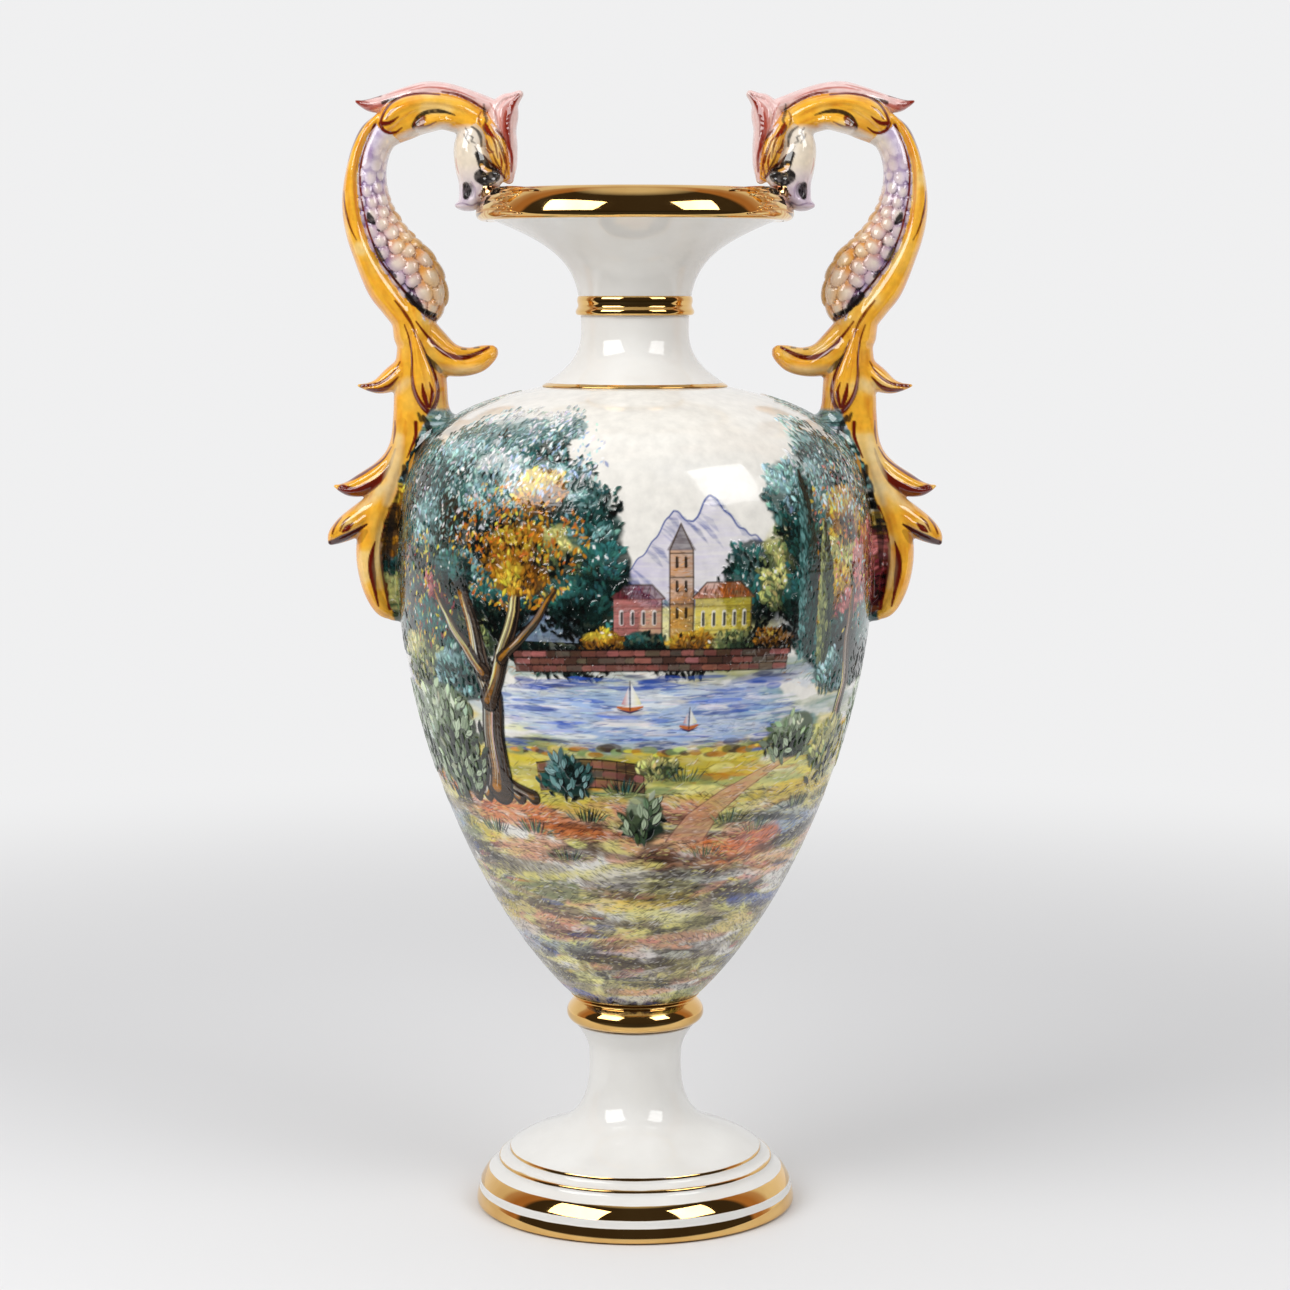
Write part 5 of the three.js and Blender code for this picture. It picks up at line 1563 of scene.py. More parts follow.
# Brush strokes of the handles: (points, widths in mm, colour, strength)
HANDLE_STROKES = [
    # the crest and its outer tip
    ([(143, 589.1), (140.7, 590.5), (135.3, 591.6), (130.6, 592.2)], [2.0, 1.4, 0.6], BROWN, 1),
    ([(142, 587.9), (137.3, 585.8), (129.3, 587.8), (125.3, 589.8)], [1.4, 2.2, 1.0], RED_WASH, 0.8),
    ([(143, 589.2), (139.8, 588.2), (135.4, 587.4)], [2.2, 3.0, 1.2], RED_BROWN, 0.85),
    ([(130.6, 577.8), (128.6, 583.1), (125.3, 587.8), (119.9, 591.2), (114.6, 592.6), (107.9, 593.2),
      (99.9, 592.6)], [1.2, 0.9], BROWN, 1),
    ([(98.5, 594.1), (91.8, 593.1), (85.1, 590.5), (80.5, 587.8), (76.5, 585.1)], [0.8, 1.4, 0.9], BROWN,
     0.95),
    ([(115.9, 594.8), (106.6, 596.4), (97.2, 595.8), (88.5, 593.8), (81.1, 590.5)], [0.4, 1.2, 0.4],
     RED_WASH, 0.8),
    ([(128, 592.5), (118, 595.5), (108, 598)], [0.4, 1.4, 0.4], RED_WASH, 0.5),
    ([(129.5, 588.5), (126, 589.8), (121, 591)], [2.0, 2.0, 0.8], BLACK, 0.9),
    # the arch's leaves
    ([(130.6, 577.8), (129.3, 574.5), (126, 572.8), (122.6, 573.2), (119.3, 575.5)], [1.6, 1.3, 0.5],
     BROWN, 1),
    ([(130, 577.8), (126.6, 577.5), (123.3, 579.2), (120.9, 581.1)], [1.8, 1.6, 0.5], BROWN, 1),
    ([(127.3, 579.8), (125.3, 583.1), (120.9, 586.5)], [0.7, 0.9, 0.3], BROWN, 0.9),
    # a black line under the arch leaf's lower edge: a painted shadow
    ([(113.2, 576.5), (110.6, 580.8), (106.6, 583.2), (101.9, 584), (97.2, 583.6), (91.8, 582)],
     [2.6, 2.4, 2.2, 0.6], BLACK, 0.95),
    ([(112.8, 575.4), (109.9, 577.6), (108, 580.2)], [2.0, 4.4, 2.2], BROWN, 0.95),
    ([(113.4, 575.6), (111.4, 577.4), (110.4, 579.8)], [1.2, 1.8, 1.0], BLACK, 0.8),
    ([(110.6, 575.0), (106.6, 575.9), (101.2, 578.4)], [1.2, 0.9, 0.4], BROWN, 0.9),
    ([(121, 570.5), (112.5, 572.8), (104.6, 573.2), (97, 575.2), (91.5, 573)], [2, 4, 5, 5, 3],
     SOFT_WHITE, 0.9),
    # the outer band
    ([(136, 581.8), (139.3, 577.8), (143.4, 571.2), (146.4, 563.9), (147.7, 558.6)], [1.6, 1.4, 0.5],
     BROWN, 1),
    ([(133.6, 577), (136.4, 570.5), (138.6, 565.2), (141, 556), (141.6, 549), (141.3, 542), (140.3, 534),
      (138.4, 525), (135.6, 516)],
     [1.3, 1.0, 0.8, 0.9], BROWN, 1),
    # deeper ochre on the band beside the scales: painted shade in the crease between them
    ([(136.8, 577.5), (140, 570.5), (142.6, 562), (144.2, 552), (144.4, 542), (143.6, 532), (141.6, 522)],
     [2.0, 1.6, 1.2], DEEP_OCHRE, 0.55),
    ([(150.4, 542.6), (150, 536), (148.7, 529.3), (146.7, 522.7), (144, 517.4)], [0.5, 1.1, 0.4], BROWN,
     0.95),
    ([(135.6, 516), (134.4, 512.5), (131.6, 506.5), (127.4, 500.6), (123.2, 495.2), (118.4, 489.3),
      (113.4, 483.3), (108.6, 479), (104.5, 476.5)],
     [0.9, 1.0, 1.4, 2.2], DARK_BROWN, 1),
    ([(137.4, 531), (136.4, 528), (134.6, 526)], [2.0, 4.2, 2.0], BLACK, 0.95),
    ([(133.8, 513), (132.2, 509.5), (130.4, 507)], [1.6, 3.0, 1.4], BLACK, 0.9),
    ([(126.4, 501), (124, 498.4)], [2.2, 1.6], BLACK, 0.85),
    ([(117.4, 488.4), (114.4, 485.6), (111.4, 483.0)], [4.4, 5.4, 3.0], BLACK, 0.95),
    ([(112, 482), (107.5, 479.6), (104, 478.6)], [2.6, 2.6, 1.8], BLACK, 0.95),
    # the ear and the mane
    ([(58.8, 592.6), (61.4, 588.6), (64.6, 582.5), (65.6, 576), (64.6, 568.5), (62.4, 561.2),
      (62.6, 553)], [1.6, 3.0, 3.0, 1.8, 1.0], RED_BROWN, 0.97),
    ([(60.4, 590.6), (65.6, 584), (67.2, 577), (66.2, 570)], [2, 4.0, 3.4, 1.6], RED_WASH, 0.65),
    ([(73.6, 588.4), (70.6, 583), (69.4, 577.6)], [0.5, 1.2, 0.5], RED_WASH, 0.6),
    # pale pink on the mane: a painted highlight
    ([(72.6, 577.2), (69.8, 573.6), (67.4, 570.6)], [1.0, 2.4, 0.8], PALE_PINK, 0.9),
    ([(75.8, 575.8), (74.4, 573.2), (71.2, 570.8)], [2.6, 2.4, 0.6], BROWN, 0.97),
    ([(75.4, 569.4), (74.6, 565.6), (71.8, 562.5)], [0.7, 1.3, 0.5], BROWN, 0.95),
    ([(70.4, 574.5), (67.8, 571.8), (66.0, 569.4)], [0.7, 1.2, 0.5], BROWN, 0.9),
    ([(69.0, 568.6), (66.8, 562.8), (65.8, 557.2)], [0.6, 1.3, 0.5], BROWN, 0.95),
    ([(72.4, 563.2), (70.4, 558.0), (67.6, 553.6)], [0.5, 1.0, 0.5], BROWN, 0.9),
    ([(77.1, 561.5), (73.8, 557.6), (69.8, 554.4), (66.4, 549.9)], [0.6, 1.4, 1.0], BROWN, 0.97),
    ([(65.2, 565.4), (64.6, 558.6), (64.8, 552.2)], [0.5, 1.1, 0.6], ORANGE, 0.85),
    # cream on the mane: a painted highlight
    ([(70.6, 569.8), (69.8, 564.6), (68.6, 560.4)], [0.7, 2.2, 0.8], CREAM_GLAZE_AND_HIGHLIGHT, 0.85),
    ([(76.8, 587.6), (76.6, 583.5), (75.2, 579.6), (76.0, 577.4)], [1.0, 1.8, 1.2], BLACK, 0.8),
    ([(78.2, 584.0), (79.5, 580.5), (78.6, 577)], [0.6, 1.0, 0.5], BROWN, 0.7),
    # the face
    ([(91, 574), (85, 572.6), (80.2, 569.4), (80.6, 562)], [4, 8, 7, 4], SOFT_WHITE, 0.85),
    ([(80, 561.8), (77.8, 558.6), (76, 554)], [3.0, 5.6, 5.6], BLACK, 0.98),
    ([(78.6, 550.2), (75.4, 550.4), (72.2, 551)], [7.0, 10.6, 8.0], BLACK, 0.98),
    ([(76.2, 578), (73.8, 573.2), (69.4, 568.9)], [0.8, 1.6, 0.8], RED_BROWN, 0.95),
    ([(73.8, 572.2), (70.9, 567.4), (69.4, 559.8)], [0.5, 0.9, 0.4], BROWN, 0.9),
    ([(75.7, 564.6), (73.8, 562.6), (71.4, 563.1)], [0.5, 1.1, 0.5], RED_BROWN, 0.9),
    ([(68.5, 562.6), (67.5, 557.9), (68, 553)], [0.6, 1.3, 0.6], RED_BROWN, 0.95),
    ([(65.6, 562), (65.1, 556), (66.4, 550.2)], [0.5, 1.1, 0.5], RED_BROWN, 0.95),
    ([(59.6, 591.6), (61.7, 587.4), (64.1, 579.9), (63.6, 569.4), (62.4, 560.7)],
     [1.2, 2.8, 2.2, 1.5, 0.8], RED_BROWN, 0.8),
    # a light spot between the brow and the eye, golden with pale pink inside: a painted highlight
    ([(78.0, 556.0), (75.8, 553.6), (73.4, 553.4)], [1.8, 2.4, 1.2], GOLDEN, 0.9),
    ([(77.6, 554.2), (75.6, 552.6)], [0.9, 1.1], PALE_PINK, 0.9),
    ([(86.6, 545.9), (86.1, 543), (86.6, 540.1)], [3.4, 4.8, 3.4], BLACK, 0.98),
    ([(86.5, 575.5), (84.9, 573), (86.2, 570.4), (84.6, 567.6)], [0.7, 1.1, 0.6], BLACK, 0.75),
    ([(83, 576), (80.2, 574), (78.4, 570.6), (78.0, 566)], [0.9, 1.9, 1.1], BLACK, 0.85),
    ([(84.4, 571.6), (82.4, 570.4), (83.2, 568.4), (81.2, 567.6)], [0.7, 1.0, 0.6], BLACK, 0.8),
    ([(87.2, 572.2), (86.2, 569.8)], [0.7, 0.9], BLACK, 0.7),
    ([(81.4, 565.8), (80.0, 563.4), (79.6, 561)], [0.5, 0.9, 0.5], BLACK, 0.7),
    ([(91.6, 560), (91.4, 556), (90.2, 552)], [0.4, 0.9, 0.4], RED_WASH, 0.6),
    ([(92.6, 536.0), (88.6, 536.6), (84.0, 535.4), (80.4, 537)], [0.4, 0.9, 0.7], LILAC_GLAZE * 0.5, 0.85),
    ([(83.4, 547.5), (81.6, 543.5), (81.8, 539.5)], [0.5, 1.1, 0.5], LILAC_GLAZE * 0.6, 0.6),
    # the gilded joint below the head
    ([(79.6, 540.5), (76, 543.6), (72, 545), (67, 545.4)], [0.8, 1.5, 0.8], BROWN, 0.9),
    ([(78.6, 536.5), (75.4, 539.4), (71.2, 540.8)], [0.7, 1.5, 0.6], DARK_BROWN, 0.9),
    ([(76.6, 533.5), (73.4, 535.8), (69.0, 536.6)], [0.6, 1.2, 0.6], BROWN, 0.9),
    # cream on the gilded joint: a painted highlight
    ([(77.4, 542.2), (74.4, 541.6), (71.0, 543.0)], [0.6, 1.0, 0.5], CREAM_GLAZE_AND_HIGHLIGHT, 0.8),
    # the loop's foot, the curling leaf and the hanging leaf
    ([(124.6, 485.9), (119.9, 479.9), (115.9, 473.3), (113.9, 467)], [0.7, 1.5, 0.6], BROWN, 0.95),
    ([(113.7, 475), (109, 468.5), (103.6, 462), (98.2, 457.8), (91.4, 456), (84.6, 457.4), (76.4, 461.4)],
     [0.6, 1.3, 2.0, 2.0, 1.1], BROWN, 1),
    ([(90.5, 460.6), (88.4, 460.4)], [0.9, 0.9], BLACK, 0.8),
    ([(84, 461.2), (81.5, 461.4)], [1.0, 0.9], BLACK, 0.8),
    ([(119.9, 473.3), (117.6, 466), (116.2, 456), (116.5, 446), (114.8, 437.4), (110.6, 430),
      (107.8, 427.4)], [0.5, 0.9, 1.2, 2.0, 2.4], BROWN, 1),
    ([(111.9, 465.3), (109.2, 458.7), (106.4, 452), (104.3, 446), (103.0, 439.4), (103.9, 433.4),
      (106.6, 428)], [0.4, 1.0, 1.2, 1.8], BROWN, 1),
    ([(110.9, 442.5), (110.1, 436.7), (108.6, 430.8)], [0.7, 2.2, 1.6], BROWN, 1),
    ([(107.2, 443.4), (105.8, 437.6), (107.4, 430.4)], [0.5, 1.7, 1.2], BROWN, 1),
    ([(108.8, 457.5), (106.2, 453.6), (101.8, 449)], [1.0, 3.4, 2.2], BLACK, 0.85),
    # the leaves that stand out
    ([(122.9, 454), (126, 449), (130.6, 444.6), (136.7, 442), (144, 441)], [0.5, 1.2, 1.4], BROWN, 1),
    ([(124, 446), (128.6, 441.4), (133.3, 439.2), (140.7, 438.9)], [0.6, 2.2, 1.4], BROWN, 1),
    ([(115, 422.1), (115.4, 414.5), (120, 403.7)], [1.8, 1.4, 0.6], BROWN, 1),
    ([(126.4, 422.9), (126.6, 416.8), (127.6, 411)], [0.5, 1.1, 0.5], BROWN, 0.9),
    ([(128.5, 409.1), (133, 402.6), (140.2, 397.4), (147.9, 392.8), (156.4, 390)], [0.5, 1.1, 1.3], BROWN,
     1),
    ([(126.2, 408.3), (129.3, 399.9), (134.7, 392.2), (140.9, 387.8), (147.9, 385), (154.9, 386.1)],
     [0.6, 2.0, 4.4, 4.6], BROWN, 1),
    ([(161.9, 357.7), (158.8, 358.8), (151, 362.6), (141.7, 368.4)], [2.6, 3.0, 2.2, 0.8], DARK_BROWN, 1),
    ([(160.6, 363.1), (158.8, 367.7), (155.7, 371.6)], [0.8, 1.0, 0.4], BROWN, 0.95),
    ([(156.4, 364.6), (154.1, 369.2), (151, 372.3)], [0.6, 1.1, 0.4], BROWN, 0.95),
    ([(154.9, 364.2), (151.8, 366.6), (149.2, 368.8)], [0.8, 2.8, 0.8], BROWN, 1),
    ([(137.4, 359.2), (139.4, 351.6), (139.4, 343.9), (138, 333.9), (136.3, 324.7)],
     [0.5, 2.4, 3.0, 1.6, 0.8], BROWN, 1),
    ([(128.5, 378.4), (131.6, 369.2), (133.6, 359.2), (134, 351.6), (133, 341.6), (131.4, 330.9),
      (130.3, 323.2)], [1.0, 2.0, 2.2, 1.6], BROWN, 1),
    ([(151, 358.8), (146.5, 361), (142.5, 364.6)], [4, 4.6, 2], DARK_BROWN, 0.4),
    # soft cream patches along the tail and on the leaves: painted highlights
    ([(123.6, 414), (126.4, 402), (128.4, 390), (131, 380)], [3, 7, 8, 3], CREAM_GLAZE_AND_HIGHLIGHT, 0.7),
    ([(146, 376.5), (139, 382), (132, 388)], [3, 5, 4], CREAM_GLAZE_AND_HIGHLIGHT, 0.6),
    ([(130, 436.5), (124, 440), (119, 444)], [3, 5, 3], CREAM_GLAZE_AND_HIGHLIGHT, 0.5),
    ([(82, 450.5), (92, 449), (101, 450)], [3, 5, 3], CREAM_GLAZE_AND_HIGHLIGHT, 0.5),
    ([(134, 357), (136.4, 347), (135.4, 335)], [2, 3, 2], CREAM_GLAZE_AND_HIGHLIGHT, 0.5),
]


def brush_of(paint):
    for known, soft, wider in BRUSHES:
        if paint is known:
            return soft, wider
    return FIRM, 1.0


def stroke_cover(x, z, points, widths, soft=FIRM):
    """How far a tapering stroke covers each place in the drawing, 0 to 1."""
    line = smooth_rows(drawn(points), 1.2)
    share = np.linspace(0, 1, len(line))
    half = np.interp(share, np.linspace(0, 1, len(widths)), widths) / 2
    low, high = line.min(0) - 6, line.max(0) + 6
    near = np.flatnonzero((x > low[0]) & (x < high[0]) & (z > low[1]) & (z < high[1]))
    cover = np.zeros(len(x), np.float32)
    if len(near) == 0:
        return cover
    nx, nz = x[near], z[near]
    best = np.zeros(len(near), np.float32)
    for (ax, az), (bx, bz), ha, hb in zip(line, line[1:], half, half[1:]):
        ex, ez = bx - ax, bz - az
        t = np.clip(((nx - ax) * ex + (nz - az) * ez) / (ex * ex + ez * ez + 1e-9), 0, 1)
        d = np.hypot(nx - ax - t * ex, nz - az - t * ez)
        best = np.maximum(best, np.clip((ha + (hb - ha) * t - d) / soft + 0.5, 0, 1))
    cover[near] = best
    return cover


def blend_in(colour, other, share):
    """The colour with a share of another, 0 to 1 at each point."""
    share = np.clip(share, 0, 1)[:, None]
    return colour * (1 - share) + other * share


class Spots:
    """The points of one limb: where on it they lie, and the brush's streaks and clouds there."""

    def __init__(self, number, located, points, broad, seed):
        self.run, self.v, _, depth = located
        self.z = points[:, 2]
        self.across = (np.abs(points[:, 1]) - LIMBS[number].side) / depth
        self.broad = broad
        self.seed = seed
        round_limb = np.arctan2(self.across, self.v) * 9
        self.streaks = self.cloud(self.run * 0.16, round_limb, np.full(len(self.run), 3.0 * number), 1.3)

    def cloud(self, a, b, c, scale, offset=0.0):
        return mottle(np.stack([a, b, c], 1), scale, self.seed + offset)


def rise(value, start, length):
    """0 before the start, 1 after the length that follows it."""
    return np.clip((value - start) / length, 0, 1)


def scale_glaze(at):
    """Lilac and purple scales with pale crowns, which are a painted highlight, and painted shade on the
    upper part of each under the scale above; dark joints, golden towards the inner lower side.
    """
    run, v = at.run, at.v
    r, number, lean = scale_cells(run, v, at.across)
    tone = (np.sin(number * 12.9898 + at.seed) * 43758.5) % 1.0
    inner = rise(run, 36, 40) * np.clip(0.5 - v * 1.2, 0, 1)
    base = blend_in(LILAC_GLAZE, PALE_LILAC, 0.15 + 0.75 * tone)
    outer = rise(v, 0.1, 0.6) * (0.25 + 0.5 * ((tone * 5) % 1))
    base = blend_in(base, PURPLE, outer * rise(run, 12, 14))
    base = blend_in(base, GOLDEN, inner * (0.6 + 0.4 * ((tone * 7) % 1)))
    smooth = np.clip(1 - (run - 10) / 30, 0, 1)
    cloud = at.cloud(run, at.across * 12, v * 9, 4.5, 2)
    veil = blend_in(PALE_LILAC, PURPLE, np.clip(cloud * 2.2 - 0.8, 0, 0.75) * np.clip(run / 16, 0, 1))
    veil = blend_in(veil, IVORY, np.clip(-v * 1.6, 0, 0.8))
    base = base * (1 - smooth[:, None]) + veil * smooth[:, None]
    # Ivory on each scale's middle and lower part is a painted highlight; purple, or orange on the inner
    # side, on its upper part under the scale above is painted shade
    base = blend_in(base, IVORY, np.clip(0.85 - r + 0.35 * lean, 0, 0.95) * (1 - smooth))
    base = blend_in(base, PURPLE * 0.7, np.clip(-lean * 1.6 - 0.1, 0, 0.75) * (1 - smooth) * (1 - inner))
    base = blend_in(base, SCALE_ORANGE, np.clip(-lean * 1.6 - 0.1, 0, 0.85) * inner)
    gap = rise(r, 0.8, 0.22)
    base = blend_in(base, JOINT_PURPLE, gap * 0.9 * np.clip((run - 8) / 30, 0.05, 1) * (1 - inner * 0.7))
    base = blend_in(base, JOINT_BROWN, gap * 0.9 * inner)
    dark = rise(r, 0.82, 0.14) * (((tone * 13) % 1) > 0.6) * (v > 0.0) * (run > 34)
    base = blend_in(base, BLACK, dark * 0.95)
    return blend_in(base, GOLDEN * 0.8, np.clip((-0.86 - v) / 0.08, 0, 1) * rise(run, 34, 20) * 0.8)


def crest_glaze(at):
    base = blend_in(PINK_GLAZE, PALE_PINK, 0.1 + 0.8 * at.streaks)
    return blend_in(base, RED_WASH, rise(at.run, 62, 8) * 0.35)


def ear_glaze(at):
    return blend_in(PINK_GLAZE, PALE_PINK, 0.15 + 0.6 * at.streaks)


def head_glaze(at):
    low = np.clip((557 - at.z) / 14, 0, 1)
    base = blend_in(IVORY, PALE_LILAC, low * 0.75)
    base = blend_in(base, LILAC_GLAZE, low * np.clip(at.broad * 1.6 - 0.7, 0, 0.3))
    return blend_in(base, GOLDEN, np.clip((at.z - 570) / 8, 0, 0.7) * (0.4 + 0.6 * at.streaks))


def gilt_glaze(at):
    return blend_in(BRIGHT_GOLD, DEEP_OCHRE * 0.8, np.clip(at.streaks * 1.6 - 0.6, 0, 1) * 0.5)


def root_glaze(at):
    return np.tile(DEEP, (len(at.run), 1))


def ochre_glaze(at):
    # Deeper ochre towards the limb's edges is painted shade where its round sides turn away; the other
    # deeper, yellow and cream tones follow the brush's streaks and clouds
    edge = rise(np.abs(at.v), 0.55, 0.45)
    deep = np.clip(at.streaks * 1.5 - 0.5, 0, 1) * 0.55 + edge * 0.3
    base = blend_in(OCHRE_GLAZE, DEEP_OCHRE, deep)
    base = blend_in(base, YELLOW_OCHRE, np.clip(at.broad * 2.0 - 0.9, 0, 0.7) * (1 - edge))
    return blend_in(base, CREAM_GLAZE_AND_HIGHLIGHT, np.clip(at.broad * 2.4 - 1.6, 0, 0.4) * (1 - edge))


GLAZES = {
    "scales": scale_glaze, "crest": crest_glaze, "ear": ear_glaze, "head": head_glaze, "gilt": gilt_glaze,
    "root": root_glaze, "ochre": ochre_glaze,
}


def handle_colours(points, seed):
    """Colours, limb numbers and distances of the handle's points, given on the drawing's side."""
    x, y, z = points.T
    nearest = np.full(len(points), FAR, np.float32)
    label = np.zeros(len(points), np.int32)
    places = []
    for k, item in enumerate(LIMBS):
        located = item.locate(x, z)
        places.append(located)
        f = item.distance(located, y)
        closer = f < nearest
        nearest = np.where(closer, f, nearest)
        label = np.where(closer, k, label)
    fine = mottle(points, 1.6, seed)
    broad = mottle(points, 9.0, seed + 7)
    colour = np.empty((len(points), 3))
    for k, item in enumerate(LIMBS):
        mine = label == k
        if not mine.any():
            continue
        spots = Spots(k, [part[mine] for part in places[k]], points[mine], broad[mine], seed)
        colour[mine] = GLAZES[item.paint](spots) * (0.93 + 0.14 * fine[mine])[:, None]
    for stroke, widths, paint, strength in HANDLE_STROKES:
        soft, wider = brush_of(paint)
        cover = stroke_cover(x, z, stroke, np.array(widths) * wider, soft)
        wear = np.clip(0.75 + 0.5 * fine, 0, 1) if strength < 1 else 1.0
        colour = blend_in(colour, paint, cover * strength * wear)
    return colour, label, nearest


# Where the ochre glaze ends and the landscape's foliage runs up on to the handle's root
ROOT_EDGE = np.array([
    (129, 318), (130.5, 326), (133.4, 344), (134.6, 358), (132.8, 369), (128, 380), (122.6, 396),
    (116.4, 410.6), (107.5, 428.7), (104, 434),
])
# Strokes on the root: the black ones are painted shade in the recesses where the handle meets the body, the
# sepia and ochre ones are brushwork
ROOT_STROKES = [
    ([(113.6, 427), (112, 423.6)], [1.4, 2.6], BLACK, 0.85),
    ([(111, 425.6), (109, 421.4), (108.4, 417)], [1.6, 3.4, 1.6], BLACK, 0.9),
    ([(107.2, 420), (106, 415.6)], [1.8, 1.0], BLACK, 0.8),
    ([(121.8, 399), (120.8, 394), (119.6, 390)], [2.4, 4.6, 2.4], BLACK, 0.9),
    ([(118.6, 396), (117.2, 390.6)], [2.6, 1.4], BLACK, 0.8),
    ([(109, 418), (112, 408), (114, 398)], [0.8, 1.6, 0.6], SEPIA, 0.9),
    ([(106, 412), (110, 402), (112, 390)], [0.8, 1.8, 0.6], OCHRE, 0.85),
    ([(116, 406), (118, 400), (118.6, 393)], [0.6, 2.2, 0.8], OCHRE, 0.85),
    ([(125, 386), (128, 374), (130, 362), (130.4, 346)], [1.2, 3.4, 3.8, 1.6], BLACK, 0.75),
]


def painted_body_colour(points):
    """The scene's own colours where a handle's root spreads on to the body."""
    angle = np.arctan2(points[:, 1], points[:, 0]) + math.pi / 2
    angle = (angle + math.pi) % (2 * math.pi) - math.pi
    column = np.clip(((angle / (2 * math.pi) + 0.5) * COLUMNS).astype(int), 0, COLUMNS - 1)
    row = np.clip(np.searchsorted(body_line[:, 1], points[:, 2]), 0, ROWS - 1)
    return BODY_COLOUR[row, column]


def make_handles():
    points, quads = handle_mesh()
    clear = body_clearance(*points.T)
    hidden = clear < -0.45
    quads = quads[~hidden[quads].all(1)]
    used = np.unique(quads)
    renumber = np.zeros(len(points), np.int64)
    renumber[used] = np.arange(len(used))
    points, quads = points[used], renumber[quads]
    for side, way in (("right", 1), ("left", -1)):
        colour, label, nearest = handle_colours(points, 3.0 * way + 11)
        placed = points * np.array([way, 1, 1])
        clear = body_clearance(*placed.T)
        spread = np.clip(1 - (clear - 0.6) / 2.4, 0, 1) * np.clip((nearest + 0.2) / 0.8, 0, 1)
        broken = 3.0 * (mottle(points, 2.4, 31.0 + way) - 0.5)
        edge = np.interp(points[:, 2], ROOT_EDGE[:, 1], ROOT_EDGE[:, 0]) + broken
        inside = np.clip((edge - points[:, 0]) / 1.2 + 0.5, 0, 1) * np.clip((430 - points[:, 2]) / 2, 0, 1)
        spread = np.where(label == ROOT, 1.0, np.maximum(spread, inside))
        colour = blend_in(colour, painted_body_colour(placed) * 0.9, spread)
        for stroke, widths, paint, strength in ROOT_STROKES:
            cover = stroke_cover(points[:, 0], points[:, 2], stroke, widths)
            colour = blend_in(colour, paint, cover * strength)
        faces = quads if way == 1 else quads[:, ::-1]
        handle = link(f"{side}_handle", placed, faces)
        colour_attribute(handle, "paint", colour)
        gilt_attribute(handle, label == JOINT)
        finish_piece(handle, HANDLE, "ochre_glaze", *[f"{side}_{node}" for node in HANDLE_NODES])


LIMB_NAMES = [item.name for item in LIMBS]
ROOT = LIMB_NAMES.index("web")
JOINT = LIMB_NAMES.index("joint")
HANDLE_NODES = (
    "serpent_neck", "scaled_belly", "animal_head", "crest", "mane_lock", "curl_leaf", "small_leaf",
    "tail_scroll", "mid_leaf", "low_leaf", "drop_leaf_front", "drop_leaf_back",
)
make_handles()

# The gilded leaf that clasps the rim on each side of a head, drawn on the rim's own surface: s runs round
# the rim from the handle's plane, and p across the roll from its inner top edge over the outside to below.
RIM_LOBES = [
    # points (s, p), half widths, height
    ([(-3, 10), (18, 9), (40, 8.6), (56, 9), (70, 10.6)], [6.5, 5.6, 4, 2.2, 0.4], 1.3),
    ([(-3, 15), (14, 14), (30, 13.5), (44, 12.5), (56, 13)], [6, 5.4, 4, 2.2, 0.4], 1.7),
    ([(-3, 20), (12, 19.5), (28, 18.6), (42, 18), (53, 20)], [6, 5.4, 4, 2.0, 0.4], 1.7),
    ([(-3, 24), (12, 23.6), (30, 22.8), (48, 22.6), (62, 23.6)], [5, 4.4, 3.6, 2.2, 0.4], 1.4),
]
LEAF_STEP = 0.4
LEAF_R = 78.0
LEAF_LINE = np.array([0.12, 0.05, 0.016])
LEAF_GLOW = np.array([0.74, 0.34, 0.06])
RIM_LINES = [
    ([(2, 8), (22, 6.6), (48, 6.8), (68, 10.2)], 0.5, LEAF_LINE),
    ([(4, 11.5), (20, 10.4), (40, 9.6), (56, 11)], 0.9, LEAF_GLOW),
    ([(0, 13), (12, 12.2), (26, 11.6), (38, 11.2)], 1.0, LEAF_LINE),
    ([(4, 16.5), (18, 15.8), (32, 15), (46, 15)], 0.7, LEAF_GLOW),
    ([(0, 18.4), (12, 17.4), (24, 16.8)], 1.1, LEAF_LINE),
    ([(4, 22.4), (18, 21.8), (34, 20.8), (50, 21.6)], 0.7, LEAF_GLOW),
    ([(0, 23.4), (10, 23), (22, 22.4)], 0.8, LEAF_LINE),
    ([(0, 27), (16, 26.6), (36, 26), (60, 25)], 0.6, LEAF_GLOW),
]


def stroke_distance(s, p, line):
    """Distance to a line through points, and the share of the line's length at the nearest place."""
    line = smooth_rows(line, 1.0)
    best = np.full(s.shape, FAR)
    share = np.zeros(s.shape)
    for k, (a, b) in enumerate(zip(line, line[1:])):
        ex, ey = b - a
        t = np.clip(((s - a[0]) * ex + (p - a[1]) * ey) / (ex * ex + ey * ey + 1e-9), 0, 1)
        d = np.hypot(s - a[0] - t * ex, p - a[1] - t * ey)
        closer = d < best
        best = np.where(closer, d, best)
        share = np.where(closer, (k + t) / (len(line) - 1), share)
    return best, share


